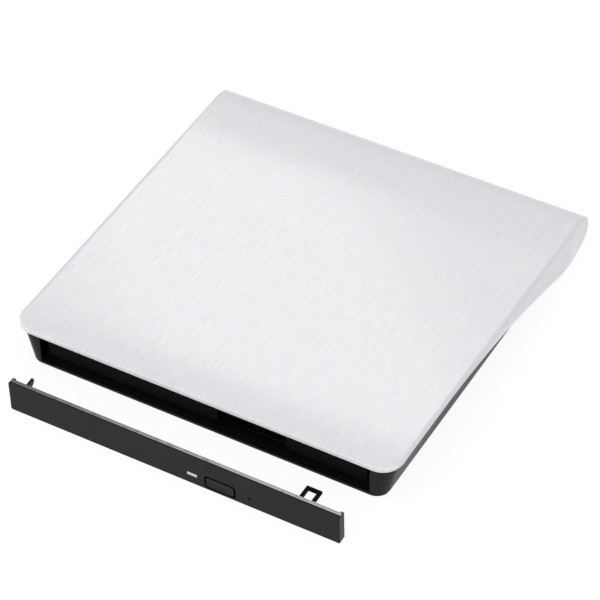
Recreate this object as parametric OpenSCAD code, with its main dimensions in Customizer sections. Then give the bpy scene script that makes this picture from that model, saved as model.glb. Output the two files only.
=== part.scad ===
// Slim external disc drive: a brushed white cover that rolls over into a rear nose, a black base,
// and a slim tray drive inside. The front bezel stands unclipped before the case.
// Sizes are in millimetres. Modules use case coordinates: x from the middle, y rearwards from the
// base's front plane and z up from the base's underside. placed() carries them to the part's frame.

/* [Drive] */
// Width of the slim drive
drive_w = 128; // [126:0.5:130]
// Depth of the drive's steel pan
drive_d = 123; // [122:0.5:126]
// Height of the slim drive
drive_h = 12.7; // [12.5:0.1:14]
// Thickness of the drive's sheet steel
pan_t = 0.6; // [0.4:0.1:0.8]
// Height of each rail
rail_h = 3; // [2.4:0.1:3.2]
// Width of each rail
rail_w = 2; // [1.6:0.1:2.4]
// Sliding clearance round the rails
rail_gap = 0.2; // [0.15:0.05:0.3]

/* [Base] */
// Clearance between the drive and each front pillar
bay_gap = 0.5; // [0.4:0.1:1.5]
// Width of each front pillar at the underside
pillar_w = 5.1; // [4.8:0.1:8]
// Wall of the base and of the cover's skirt
wall_t = 1.6; // [1.2:0.1:1.8]
// Thickness of the base's floor
floor_t = 1; // [0.8:0.1:2]
// Clearance between the base's floor and the drive
drive_gap = 0.3; // [0.2:0.1:0.6]
// Outward lean of the sides, run over rise
side_lean = 0.235; // [0.1:0.005:0.3]
// Plan radius of the base's front corners
base_corner_r = 5; // [4:0.5:8]
// Radius of each rubber foot
foot_r = 4.5; // [3:0.5:6]
// Height of the feet below the base
foot_h = 0.6; // [0.4:0.1:2]

/* [Cover] */
// Thickness of the cover's top
cover_t = 1.8; // [1.4:0.1:2.4]
// Inward lean of the cover's skirt, run over rise
skirt_lean = 0.03; // [0:0.01:0.1]
// Clearance between the drive and the cover
cover_gap = 0.4; // [0.3:0.1:1]
// Overhang of the cover's edge past the base's sides
lip_side = 1.55; // [0.8:0.05:1.55]
// Overhang of the cover's lip past the base's front
lip_front = 2; // [1.7:0.1:3]
// Plan radius of the cover's front corners
cover_corner_r = 8; // [6:0.5:12]
// Plan radius of the cover's rear corners
rear_corner_r = 2; // [1:0.25:4]
// Inward run of the rolled top edge
edge_run = 2.3; // [1:0.1:3]
// Height of the rolled top edge
edge_rise = 1.9; // [1:0.1:2.2]
// Rearward reach of the nose from the middle of its curve
nose_reach = 12.5; // [12:0.5:16]
// Half the height of the nose
nose_half_h = 7.5; // [7:0.1:7.6]
// How square the nose's upper corner is, 2 being an ellipse
nose_square = 3; // [2:0.25:4]
// Room between the drive's back and the middle of the nose's curve
nose_gap = 5; // [5:0.5:10]
// Level stretch of the cover's lower edge ahead of the nose
wave_level = 7.5; // [5:0.5:15]
// Straight share of the wave along the cover's lower edge
wave_lean = 0.12; // [0:0.02:0.4]

/* [Bezel] */
// Width of the bezel
bezel_w = 128; // [126:0.5:128.4]
// Height of the bezel
bezel_h = 12.8; // [12:0.1:12.9]
// Thickness of the bezel's plate
bezel_t = 2; // [1.4:0.1:2.2]
// Depth of the bezel's end flanges, with the plate
flange_d = 3; // [2.4:0.1:4]
// Distance from the base's front plane to the face of the standing bezel
stand_off = 23; // [16:0.5:40]
// Sideways shift of the standing bezel
stand_shift = 2.2; // [0:0.1:3]
// Clearance under the clipped bezel
bezel_gap = 0.35; // [0.35:0.05:0.5]
// Width of the eject button
button_w = 11.3; // [8:0.1:12]
// Height of the eject button
button_h = 4.9; // [3:0.1:5]
// Gap round the eject button
button_gap = 0.35; // [0.25:0.05:0.5]
// Width of the lamp window
lamp_w = 3.9; // [2:0.1:5]
// Height of the lamp window
lamp_h = 1.3; // [0.8:0.1:2]
// Radius of the emergency eject hole
pin_hole_r = 0.5; // [0.4:0.05:0.8]

/* [Tray] */
// Diameter of the disc that the tray holds
disc_d = 120; // [118:0.5:120]
// Diameter of the small disc that the tray holds
small_disc_d = 80; // [76:1:84]
// Radial play round a disc
disc_play = 0.5; // [0.3:0.1:0.6]
// Thickness of the tray's front beam
beam_t = 2.5; // [2:0.1:2.6]
// Thickness of the tray's deck
deck_t = 1.6; // [1.4:0.1:2]
// Height of the deck's underside over the tray's steel plate
deck_room = 4.5; // [4.4:0.1:5]
// Thickness of the steel plate under the tray
plate_t = 0.6; // [0.4:0.1:0.7]
// Clearance between the pan's floor and the tray's steel plate
tray_gap = 0.4; // [0.3:0.1:0.5]
// Diameter of the hub that centres a disc
hub_d = 14.8; // [14:0.1:15]
// Radius of the turntable
table_r = 14.5; // [13:0.1:15]

/* [Traverse] */
// Turn of the pickup's path from straight ahead
traverse_turn = 45; // [42:1:47]
// Distance from the spindle to the lens at rest
lens_in = 24; // [23:0.5:28]
// Distance from a disc's edge to the lens at its outer limit
lens_edge = 3; // [2.5:0.5:8]
// Radius of the guide rods
rod_r = 0.9; // [0.7:0.05:1]
// Distance between the guide rods
rod_span = 27.6; // [26:0.1:28]
// Radius of the lead screw
screw_r = 1.1; // [0.8:0.05:1.3]
// Radius of the spindle motor
motor_r = 11.5; // [9:0.1:12]

/* [Hidden] */
$fn = 64;
far = 400;

// Heights
pan_z = floor_t + drive_gap;
pan_floor = pan_z + pan_t;
drive_top = pan_z + drive_h;
plate_under = drive_top - pan_t;
cover_under = drive_top + cover_gap;
top_z = cover_under + cover_t;
edge_z = top_z - edge_rise;
nose_z = top_z - nose_half_h;
nose_low = nose_z - nose_half_h;

// Half widths
drive_half = drive_w / 2;
bay_half = drive_half + bay_gap;
base_half = bay_half + pillar_w;
cover_half = base_half + side_lean * edge_z + lip_side;
pan_in = drive_half - pan_t;

// Depths
pan_y0 = flange_d + 0.5;
pan_y1 = pan_y0 + drive_d;
nose_y = pan_y1 + nose_gap;
case_back = nose_y + nose_reach;
wave_y = nose_y - wave_level;
front_y = (stand_off - case_back) / 2;

// Screw posts, between the drive's side and the base's wall
post_x = (drive_half + base_half + side_lean * floor_t - wall_t) / 2;
post_r = 1.75;
post_ys = [22, wave_y - 20];
boss_top = 6;
screw_shank_r = 0.75;
screw_head_r = 1.35;
screw_head_z = 0.2;
screw_head_h = 1;
screw_clear = 0.1;
screw_reach = 5;

// Feet
foot_sink = 0.4;
foot_x = base_half - 9;
foot_ys = [12, nose_y - 14];

// Bridge board in the nose
bridge_z = nose_z - 2.2;
bridge_t = 0.8;
bridge_y = [nose_y - 3.5, nose_y + 7.5];
bridge_post_y = nose_y - 2;
bridge_post_r = 1.3;
bridge_screw_r = 0.6;
plug_inset = 17;
plug_w = 32;
plug_x = [plug_inset - drive_half, plug_inset - drive_half + plug_w];
plug_rim = 2;
plug_reach = 3.4;
board_margin = 8;
ribbon_w = 12;
receptacle_d = 4.5;
receptacle_h = 3;
receptacle_gap = 0.3;
plug_z = bridge_z + bridge_t + 0.8;
plug_h = 1.6;
socket_x = 12;
bridge_x = [plug_x[0] - 7, socket_x + 18];
bridge_post_xs = [plug_x[0] - 3.7, bridge_x[1] - 4];
// Each chip's corner from the socket's middle, then its width, depth and height
bridge_chip_spots = [[-14, -1, 6, 6, 1], [7, 2, 2, 4, 0.8], [-24, 4, 3, 2, 0.7]];
socket_w = 7.7;
socket_h = 3.9;
socket_wall = 0.4;
socket_d = 9;
socket_clear = 0.3;
socket_y1 = case_back - 0.8;
socket_z = bridge_z + bridge_t;

// Rails, from the pan's inner side inwards
guide_t = 0.6;
guide_lip = 0.7;
rail_x1 = pan_in - guide_t - rail_gap;
rail_x0 = rail_x1 - rail_w;
rail_z = pan_floor + 3.3;
groove_x = rail_x0 - rail_gap;
tray_half = groove_x + 1;
guide_flange = 0.8;

// Tray
plate_z = pan_floor + tray_gap;
tray_z = plate_z + plate_t;
deck_z = tray_z + deck_room;
deck_top = deck_z + deck_t;
rim_top = plate_under - 1.8;
beam_top = plate_under - 1;
tray_y0 = bezel_t + 0.2;
tray_y1 = pan_y1 - pan_t - 4.4;
tray_wall = 1.6;
cavity_half = groove_x - tray_wall;
cavity_y0 = tray_y0 + beam_t;
cavity_y1 = tray_y1 - tray_wall;
spindle_y = tray_y0 + beam_t + disc_play + disc_d / 2;
seat_z = deck_top + 1.25;
rail_y = [cavity_y0 + 2, tray_y1 - 0.5];

// Bezel at rest and clipped: middle, front face and underside
stand_at = [stand_shift, -stand_off, -foot_h];
clip_z = floor_t + bezel_gap;
bezel_half = bezel_w / 2;
flange_t = 1.2;
lamp_at = [8, 4.2];
button_at = [18.75, 3.5];
pin_hole_at = [30, 3.7];
loop_x = [47.5, 53];
loop_z = [10.8, 11.7];
loop_y = 8;
loop_bar = 1.1;
prong_x = [-58.8, -57.8];
prong_z = [9.2, 11.7];
prong_y = 6.3;
prong_nose = 1.4;
clip_play = 0.8;

// Traverse, in its own axes about the spindle: the pickup runs out along -y
rod_x = rod_span / 2;
frame_z = tray_z + 0.3;
frame_t = 0.8;
frame_top = frame_z + frame_t;
rod_z = tray_z + 3;
screw_x = rod_x + 5.2;
screw_z = tray_z + 2.3;
carriage_fore = 4.5;
carriage_aft = 11;
carriage_half = rod_x + 2.7;
carriage_z = frame_top + 0.3;
carriage_top = deck_z - 0.3;
stop_t = 2;
lens_out = disc_d / 2 - lens_edge;
outer_stop = -(lens_out + carriage_fore + 0.7);
inner_stop = -(lens_in - carriage_aft - 1.5);
frame_half = rod_x + 3.7;
screw_end = outer_stop + 5;
screw_root = -8;
sled_len = 14;
sled_r = 2.1;
bushes = [[-14.5, 14], [14.5, 14], [-rod_x - 6.7, -48], [screw_x + 6, -34]];
bush_r = 2.6;
bush_h = 1.1;
bush_screw_r = 0.9;
run_gap = 0.05;
shaft_r = 1;

// Latch
latch_post_r = 1.2;
latch_post_top = pan_floor + 3.1;
lane_gap = 0.5;
latch_inset = 18.3;
pivot_at = [cavity_half - latch_inset, 10];
post_at = [pivot_at[0] - 6.5, 17];
pivot_r = 0.9;
lever_z = tray_z + 0.4;
lever_t = 1;

// Boards on the tray
board_t = 0.8;
switch_x = button_at[0];
board_w = 44;
board_d = 33;
board_inset = 7;
tray_board_x = [cavity_half - board_inset - board_w, cavity_half - board_inset];
tray_board_y = [cavity_y1 - 2 - board_d, cavity_y1 - 2];
tray_board_z = deck_z - 1.5;
board_post_r = 1.8;

module placed() {
    translate([0, front_y, foot_h]) children();
}

module both_sides() {
    children();
    mirror([1, 0, 0]) children();
}

// An outline drawn as (y, z), carried along x
module along_x(x0, x1) {
    translate([x0, 0, 0]) rotate([90, 0, 90]) linear_extrude(x1 - x0) children();
}

// An outline drawn as (x, z), carried along y
module along_y(y0, y1) {
    translate([0, y1, 0]) rotate([90, 0, 0]) linear_extrude(y1 - y0) children();
}

// An outline drawn as (x, y), carried along z
module along_z(z0, z1) {
    translate([0, 0, z0]) linear_extrude(z1 - z0) children();
}

module box(xs, ys, zs) {
    translate([xs[0], ys[0], zs[0]]) cube([xs[1] - xs[0], ys[1] - ys[0], zs[1] - zs[0]]);
}

module span(xs, ys) {
    translate([xs[0], ys[0]]) square([xs[1] - xs[0], ys[1] - ys[0]]);
}

module rounded(xs, ys, r) {
    span([xs[0] + r, xs[1] - r], ys);
    span(xs, [ys[0] + r, ys[1] - r]);
    for (x = [xs[0] + r, xs[1] - r], y = [ys[0] + r, ys[1] - r])
        translate([x, y]) circle(r);
}

module disc(r, zs) {
    translate([0, 0, zs[0]]) cylinder(r = r, h = zs[1] - zs[0]);
}

// Height of the cover's lower edge at a distance behind the front plane
function wave_z(y) =
    let (t = min(1, max(0, y / wave_y)))
    cover_under - (cover_under - nose_low) * (wave_lean * t + (1 - wave_lean) * pow(t, 3));

wave_steps = 24;
wave_edge = [for (i = [wave_steps:-1:0]) let (y = wave_y * i / wave_steps) [y, wave_z(y)]];

// Half ellipse of the nose, from the top down to the underside, drawn in by inset
nose_step = 5;
function nose_at(inset, y, z) = [nose_y + (nose_reach - inset) * y, nose_z + (nose_half_h - inset) * z];
function squared(share) = pow(share, 2 / nose_square);
function nose_arc(inset) = concat(
    [for (a = [90:-nose_step:0]) nose_at(inset, squared(cos(a)), squared(sin(a)))],
    [for (a = [-nose_step:-nose_step:-90]) nose_at(inset, cos(a), sin(a))]
);

// Half width at a height of the base's side, of the cover's skirt and of the room inside the skirt
function base_x(z) = base_half + side_lean * z;
function skirt_x(z) = cover_half - skirt_lean * (edge_z - z);
function room_x(z) = base_x(z) + lip_side - wall_t;
side_angle = atan(side_lean);

// Cover

module rolled_edge() {
    polygon(concat(
        [[0, -foot_h], [cover_corner_r, -foot_h]],
        [for (a = [0:15:90])
            [cover_corner_r - edge_run + edge_run * cos(a), edge_z + edge_rise * sin(a)]],
        [[0, top_z]]
    ));
}

// Block with round front corners, its rolled top edge running round the front and sides
module rolled_block() {
    core = cover_half - cover_corner_r;
    core_y = cover_corner_r - lip_front;
    both_sides() translate([core, core_y, 0]) rotate([0, 0, -90]) rotate_extrude(angle = 90) rolled_edge();
    both_sides() along_y(core_y, case_back) translate([core, 0]) rolled_edge();
    translate([0, core_y, 0]) mirror([0, 1, 0]) along_x(-core, core) rolled_edge();
    box([-core, core], [core_y, case_back], [-foot_h, top_z]);
}

module front_corners(half, y0, y1, r) {
    span([-half, half], [y0 + r, y1]);
    span([r - half, half - r], [y0, y0 + r]);
    for (x = [r - half, half - r]) translate([x, y0 + r]) circle(r);
}

module cover_form() {
    intersection() {
        rolled_block();
        along_x(-cover_half, cover_half)
            polygon(concat([[-lip_front, cover_under], [-lip_front, top_z]], nose_arc(0), wave_edge));
        along_y(-lip_front, case_back)
            polygon([[-skirt_x(-foot_h), -foot_h], [skirt_x(-foot_h), -foot_h], [cover_half, edge_z],
                [cover_half, top_z], [-cover_half, top_z], [-cover_half, edge_z]]);
        along_z(-foot_h, top_z)
            rounded([-cover_half, cover_half], [-far, case_back], rear_corner_r);
    }
}

module cover_hollow() {
    inner_y = wall_t - lip_front;
    intersection() {
        along_x(-cover_half, cover_half)
            polygon(concat([[inner_y, -far], [inner_y, cover_under]], nose_arc(cover_t), [[nose_y, -far]]));
        along_y(-lip_front, case_back)
            polygon([[-room_x(-foot_h), -foot_h], [room_x(-foot_h), -foot_h],
                [room_x(cover_under), cover_under], [-room_x(cover_under), cover_under]]);
        along_z(-foot_h, top_z)
            front_corners(cover_half - wall_t, inner_y, case_back, cover_corner_r - wall_t);
    }
}

module socket_opening() {
    half = socket_w / 2 + socket_clear;
    box([socket_x - half, socket_x + half], [nose_y + nose_reach / 2, far],
        [socket_z - socket_clear, socket_z + socket_h + socket_clear]);
}

module top_cover() {
    color("WhiteSmoke") placed() {
        difference() {
            cover_form();
            cover_hollow();
            socket_opening();
        }
        both_sides() for (y = post_ys) translate([post_x, y, 0]) difference() {
            disc(post_r, [boss_top, cover_under + cover_t / 2]);
            disc(screw_shank_r + run_gap, [0, boss_top + screw_reach + 1]);
        }
    }
}

// Base

base_chamfer = 0.6;
hollow_round = 1.5;
rib_ys = [44, 68, 90];
rib_len = 8;
rib_top = 5;
pad_w = 6;

// What the base's round front corners leave away; they lean with its sides
module corner_waste() {
    both_sides() translate([base_half - base_corner_r / cos(side_angle), base_corner_r, 0])
        rotate([0, side_angle, 0]) along_z(-base_corner_r, top_z + base_corner_r) difference() {
            span([0, 2 * base_corner_r], [-2 * base_corner_r, 0]);
            circle(base_corner_r);
        }
}

module base_form() {
    difference() {
        intersection() {
            along_x(-cover_half, cover_half)
                polygon(concat([[0, 0], [nose_y - base_chamfer, 0], [nose_y, base_chamfer], [nose_y, nose_low]],
                    wave_edge));
            along_y(0, nose_y)
                polygon([[base_chamfer - base_half, 0], [base_half - base_chamfer, 0],
                    [base_x(base_chamfer), base_chamfer], [base_x(cover_under), cover_under],
                    [-base_x(cover_under), cover_under], [-base_x(base_chamfer), base_chamfer]]);
        }
        corner_waste();
    }
}

module base_hollow() {
    intersection() {
        along_y(wall_t, nose_y - wall_t)
            polygon([[wall_t - base_x(floor_t), floor_t], [base_x(floor_t) - wall_t, floor_t],
                [base_x(cover_under) - wall_t, cover_under], [wall_t - base_x(cover_under), cover_under]]);
        along_z(0, cover_under)
            front_corners(base_x(cover_under) - wall_t, wall_t, nose_y, base_corner_r + hollow_round);
    }
}

module base_tub() {
    color([0.13, 0.13, 0.13]) placed() difference() {
        union() {
            difference() {
                base_form();
                base_hollow();
                box([-bay_half, bay_half], [-1, wall_t + base_corner_r], [floor_t, far]);
            }
            // Ribs beside the drive and pads that carry it
            both_sides() for (y = rib_ys)
                box([drive_half + bay_gap / 2, drive_half + bay_gap / 2 + 1], [y, y + rib_len],
                    [floor_t / 2, rib_top]);
            both_sides() box([drive_half / 2, drive_half / 2 + pad_w], [pan_y0 + 2, pan_y1 - 2],
                [floor_t / 2, pan_z]);
            // Screw bosses
            both_sides() for (y = post_ys) translate([post_x, y, 0]) disc(post_r, [floor_t / 2, boss_top]);
            // Posts for the bridge board
            for (x = bridge_post_xs) translate([x, bridge_post_y, 0])
                disc(bridge_post_r, [floor_t / 2, bridge_z]);
        }
        both_sides() for (y = post_ys) translate([post_x, y, 0]) {
            disc(screw_head_r + screw_clear, [-1, screw_head_z + screw_head_h]);
            disc(screw_shank_r + screw_clear, [0, boss_top + 1]);
        }
        both_sides() for (y = foot_ys) translate([foot_x, y, 0]) disc(foot_r + screw_clear, [-1, foot_sink]);
        for (x = bridge_post_xs) translate([x, bridge_post_y, 0])
            disc(bridge_screw_r + run_gap, [bridge_z - 3.5, bridge_z + 1]);
    }
}

module rubber_feet() {
    color([0.2, 0.2, 0.2]) placed() both_sides() for (y = foot_ys) translate([foot_x, y, 0])
        disc(foot_r, [-foot_h, foot_sink]);
}

module case_screws() {
    color("Silver") placed() both_sides() for (y = post_ys) translate([post_x, y, 0]) {
        difference() {
            disc(screw_head_r, [screw_head_z, screw_head_z + screw_head_h]);
            for (turn = [0, 90]) rotate([0, 0, turn])
                box([-0.9, 0.9], [-0.2, 0.2], [0, screw_head_z + screw_head_h / 2]);
        }
        disc(screw_shank_r, [screw_head_z + screw_head_h, boss_top + screw_reach]);
    }
}

// Drive shell

tab = 4;
drive_screw_r = 0.8;
drive_screw_head_r = 1.5;
drive_screw_head_h = 0.2;

module drive_corners() {
    both_sides() for (y = [pan_y0 + tab / 2, pan_y1 - pan_t - tab / 2])
        translate([pan_in - tab / 2, y, 0]) children();
}

module plug_opening() {
    box([plug_x[0] - 0.5, plug_x[1] + 0.5], [pan_y1 - 2, pan_y1 + 1], [plug_z - 0.5, plug_z + plug_h + 0.5]);
}

module drive_pan() {
    color("LightSteelBlue") placed() difference() {
        union() {
            difference() {
                box([-drive_half, drive_half], [pan_y0, pan_y1], [pan_z, plate_under]);
                box([-pan_in, pan_in], [-1, pan_y1 - pan_t], [pan_floor, far]);
                plug_opening();
            }
            drive_corners()
                box([-tab / 2, tab / 2 + pan_t / 2], [-tab / 2, tab / 2], [plate_under - pan_t, plate_under]);
        }
        drive_corners() disc(drive_screw_r + run_gap, [plate_under - 1, plate_under + 1]);
        translate([post_at[0], post_at[1], 0]) disc(latch_post_r / 2 + run_gap, [pan_z - 1, pan_floor + 1]);
    }
}

module drive_top_plate() {
    color("Silver") placed() difference() {
        along_z(plate_under, drive_top) difference() {
            rounded([-drive_half, drive_half], [pan_y0, pan_y1], 1.5);
            for (x = [-drive_half, drive_half]) translate([x, pan_y0 + drive_d * 0.5]) circle(2);
        }
        drive_corners() disc(drive_screw_r + run_gap, [plate_under - 1, drive_top + 1]);
    }
}

module drive_screws() {
    color("DimGray") placed() drive_corners() {
        disc(drive_screw_r, [plate_under - pan_t, drive_top]);
        disc(drive_screw_head_r, [drive_top, drive_top + drive_screw_head_h]);
    }
}

guide_y = [pan_y0 + 0.5, tray_y1];

module rail_guide() {
    low = rail_z - rail_gap - guide_flange;
    high = rail_z + rail_h + rail_gap + guide_flange;
    lip = rail_x1 - guide_lip;
    along_y(guide_y[0], guide_y[1]) difference() {
        span([lip, pan_in], [low, high]);
        span([0, pan_in - guide_t], [rail_z - rail_gap, rail_z + rail_h + rail_gap]);
    }
}

module left_rail_guide() {
    color("Ivory") placed() mirror([1, 0, 0]) rail_guide();
}

module right_rail_guide() {
    color("Ivory") placed() rail_guide();
}

module latch_post() {
    color("Goldenrod") placed() translate([post_at[0], post_at[1], 0]) {
        disc(latch_post_r / 2, [pan_z, pan_floor]);
        disc(latch_post_r, [pan_floor, latch_post_top]);
    }
}

// Circuit behind the tray and in the nose

connector_y = [pan_y1 - pan_t - 2.4, pan_y1 - pan_t - 1.6];
ribbon_t = 0.15;

module connector_board() {
    color("DarkGreen") placed() difference() {
        box([plug_x[0] - board_margin, plug_x[1] + board_margin], connector_y,
            [pan_floor, plate_under - pan_t]);
        box([plug_x[0] + plug_rim, plug_x[1] - plug_rim], [0, far], [plug_z, plug_z + plug_h]);
    }
}

module drive_connector() {
    color([0.1, 0.1, 0.1]) placed() {
        box(plug_x, [connector_y[1], pan_y1 + 0.4], [plug_z, plug_z + plug_h]);
        box([plug_x[0] + plug_rim, plug_x[1] - plug_rim], [connector_y[0], pan_y1 + plug_reach],
            [plug_z, plug_z + plug_h / 2]);
    }
}

module ribbon_cable() {
    color("SandyBrown") placed()
        box([plug_x[0], plug_x[0] + ribbon_w], [spindle_y, connector_y[0]],
            [pan_floor, pan_floor + ribbon_t]);
}

module bridge_board() {
    color("DarkGreen") placed() difference() {
        along_z(bridge_z, bridge_z + bridge_t) rounded(bridge_x, bridge_y, 1);
        for (x = bridge_post_xs) translate([x, bridge_post_y, 0])
            disc(bridge_screw_r + screw_clear, [bridge_z - 1, far]);
    }
}

module bridge_chips() {
    top = bridge_z + bridge_t;
    color([0.12, 0.12, 0.12]) placed() translate([socket_x, nose_y, top])
        for (c = bridge_chip_spots) translate([c[0], c[1], 0]) cube([c[2], c[3], c[4]]);
}

module bridge_screws() {
    top = bridge_z + bridge_t;
    color("Silver") placed() for (x = bridge_post_xs) translate([x, bridge_post_y, 0]) {
        disc(bridge_screw_r, [bridge_z - 3, top]);
        disc(bridge_screw_r * 2, [top, top + 0.7]);
    }
}

module sata_receptacle() {
    top = bridge_z + bridge_t;
    front = pan_y1 + 0.7;
    inner = [plug_x[0] + plug_rim - receptacle_gap, plug_x[1] - plug_rim + receptacle_gap];
    color([0.08, 0.08, 0.08]) placed() difference() {
        box([plug_x[0] + 0.5, plug_x[1] - 0.5], [front, front + receptacle_d], [top, top + receptacle_h]);
        box(inner, [0, pan_y1 + plug_reach + receptacle_gap], [plug_z - 0.2, plug_z + plug_h / 2 + 0.2]);
    }
}

module usb_socket() {
    half = socket_w / 2;
    y0 = socket_y1 - socket_d;
    color("Silver") placed() {
        difference() {
            along_y(y0, socket_y1)
                rounded([socket_x - half, socket_x + half], [socket_z, socket_z + socket_h], 0.6);
            box([socket_x - half + socket_wall, socket_x + half - socket_wall], [y0 + 1, far],
                [socket_z + socket_wall, socket_z + socket_h - socket_wall]);
        }
        box([socket_x - half / 2, socket_x + half / 2], [y0, socket_y1 - 1.5],
            [socket_z + socket_h / 2 - 0.4, socket_z + socket_h / 2 + 0.4]);
    }
}

// Rails

module rail() {
    channel = rail_h / 3;
    along_y(rail_y[0], rail_y[1]) difference() {
        span([rail_x0, rail_x1], [rail_z, rail_z + rail_h]);
        span([rail_x0 - 1, rail_x0 + rail_w / 3], [rail_z + channel, rail_z + rail_h - channel]);
    }
}

module left_rail() {
    color("Silver") placed() mirror([1, 0, 0]) rail();
}

module right_rail() {
    color("Silver") placed() rail();
}

// Tray

window_half = 10;
pocket_gap = 0.5;
beam_gap = 0.3;
beam_inset = 1.6;
beam_half = drive_half - beam_inset;
tray_corner_r = 6;
plate_boss_r = 2.4;
plate_screw_r = 0.8;
board_post_inset = 4;
board_post_mid = 20;
board_posts = [
    [tray_board_x[0] + board_post_inset, tray_board_y[0] + board_post_inset],
    [tray_board_x[1] - board_post_inset, tray_board_y[0] + board_post_inset],
    [tray_board_x[0] + board_post_mid, tray_board_y[1] - board_post_inset]
];
// Each chip's corner on the board, then its width and depth
tray_chip_spots = [[9, 8, 12, 12], [32, 12, 8, 8], [2, 20, 4, 8]];
chip_t = 0.9;
lane = [post_at[0] - latch_post_r - lane_gap, post_at[0] + latch_post_r + lane_gap];

module about_spindle() {
    translate([0, spindle_y, 0]) children();
}

module in_traverse() {
    about_spindle() rotate([0, 0, -traverse_turn]) children();
}

module plate_corners() {
    both_sides() for (y = [cavity_y0 + 3, cavity_y1 - 3]) translate([cavity_half - 3, y, 0]) children();
}

module tray_outline() {
    span([-tray_half, tray_half], [tray_y0, tray_y1 - tray_corner_r]);
    span([tray_corner_r - tray_half, tray_half - tray_corner_r], [tray_y0, tray_y1]);
    for (x = [tray_corner_r - tray_half, tray_half - tray_corner_r])
        translate([x, tray_y1 - tray_corner_r]) circle(tray_corner_r);
}

// Opening in the deck for the turntable and along the lens's path
module pickup_window() {
    circle(table_r + 1);
    rounded([-window_half, window_half], [-disc_d / 2, 0], 4);
}

// Room under the deck, widened where the traverse needs it
module cavity_outline() {
    span([-cavity_half, cavity_half], [cavity_y0, cavity_y1]);
    translate([0, spindle_y]) rotate(-traverse_turn)
        rounded([-frame_half - pocket_gap, frame_half + pocket_gap],
            [frame_y[0] - pocket_gap, frame_y[1] + pocket_gap], 2);
}

module tray_body() {
    difference() {
        union() {
            difference() {
                along_z(tray_z, rim_top) tray_outline();
                along_z(0, deck_z) cavity_outline();
            }
            box([-tray_half, tray_half], [tray_y0, cavity_y0], [tray_z, beam_top]);
            box([-beam_half, beam_half], [tray_y0, pan_y0 - beam_gap], [tray_z, beam_top]);
        }
        about_spindle() disc(disc_d / 2 + disc_play, [deck_top, far]);
        about_spindle() disc(small_disc_d / 2 + disc_play, [deck_top - 0.5, far]);
        in_traverse() along_z(0, far) pickup_window();
        both_sides() box([groove_x, far], [cavity_y0, far],
            [rail_z - rail_gap, rail_z + rail_h + rail_gap]);
        // Lane of the latch post through the rear wall
        box(lane, [cavity_y1 - 1, far], [0, latch_post_top + lane_gap]);
        // Window in the beam for the lamp, the button and the emergency pin
        box([lamp_at[0] - lamp_w / 2 - 1, pin_hole_at[0] + 2], [0, cavity_y0],
            [0, clip_z + button_at[1] + button_h / 2 + 1.2]);
        // Notches for the bezel's clips
        box([loop_x[0] - clip_play, loop_x[1] + clip_play], [0, loop_y + 1.5],
            [clip_z + loop_z[0] - 0.9, far]);
        box([prong_x[0] - clip_play, prong_x[1] + clip_play], [0, prong_y + 1.2],
            [clip_z + prong_z[0] - 0.8, far]);
    }
}

module disc_tray() {
    color([0.1, 0.1, 0.1]) placed() {
        tray_body();
        in_traverse() for (b = bushes) translate([b[0], b[1], 0]) difference() {
            disc(bush_r, [frame_top + bush_h, deck_z + deck_t / 2]);
            disc(bush_screw_r + run_gap, [0, deck_z]);
        }
        plate_corners() difference() {
            disc(plate_boss_r, [tray_z, deck_z + deck_t / 2]);
            disc(plate_screw_r + run_gap, [0, deck_z]);
        }
        for (p = board_posts) translate([p[0], p[1], 0]) difference() {
            disc(board_post_r, [tray_board_z + board_t, deck_z + deck_t / 2]);
            disc(plate_screw_r + run_gap, [0, deck_z]);
        }
    }
}

module tray_plate() {
    vent_r = 3;
    vent_inset = 10;
    vent_shares = [-0.68, -0.41, -0.14, 0.13, 0.4];
    color("Silver") placed() difference() {
        along_z(plate_z, tray_z) difference() {
            rounded([0.4 - groove_x, groove_x - 0.4], [cavity_y0, tray_y1 - 0.5], 5);
            span(lane, [post_at[1] - latch_post_r - lane_gap, far]);
            for (share = vent_shares) translate([share * cavity_half, cavity_y1 - vent_inset]) circle(vent_r);
        }
        plate_corners() disc(plate_screw_r + run_gap, [0, far]);
        about_spindle() disc(motor_r / 2, [0, far]);
        translate([pivot_at[0], pivot_at[1], 0]) disc(pivot_r + run_gap, [0, far]);
    }
}

module tray_screws() {
    color("DimGray") placed() {
        plate_corners() {
            disc(plate_screw_r, [plate_z, deck_z - 0.5]);
            disc(plate_screw_r * 2, [plate_z - 0.2, plate_z]);
        }
        for (p = board_posts) translate([p[0], p[1], 0]) {
            disc(plate_screw_r, [tray_board_z, deck_z - 0.2]);
            disc(plate_screw_r * 1.8, [tray_board_z - 0.4, tray_board_z]);
        }
    }
}

// Traverse

module rod_bar(x, y0, y1, z, r) {
    translate([x, y1, z]) rotate([90, 0, 0]) cylinder(r = r, h = y1 - y0);
}

frame_y = [outer_stop - stop_t - 0.3, 17.5];
wing_x = screw_x + 3.4;
bearing_t = 1.5;
journal_r = 0.7;

module frame_outline() {
    difference() {
        union() {
            rounded([-frame_half, frame_half], frame_y, 2);
            span([0, wing_x], [screw_end - bearing_t, screw_root]);
            for (b = bushes) translate([b[0], b[1]]) circle(bush_r + 1);
        }
        rounded([2.2 - rod_x, rod_x - 2.2], [outer_stop + 0.5, inner_stop - 2], 1);
        circle(motor_r - 3);
        span([screw_x - sled_r - 0.3, far], [screw_root, screw_root + sled_len + 1]);
        for (b = bushes) translate([b[0], b[1]]) circle(bush_screw_r + run_gap);
    }
}

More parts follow.
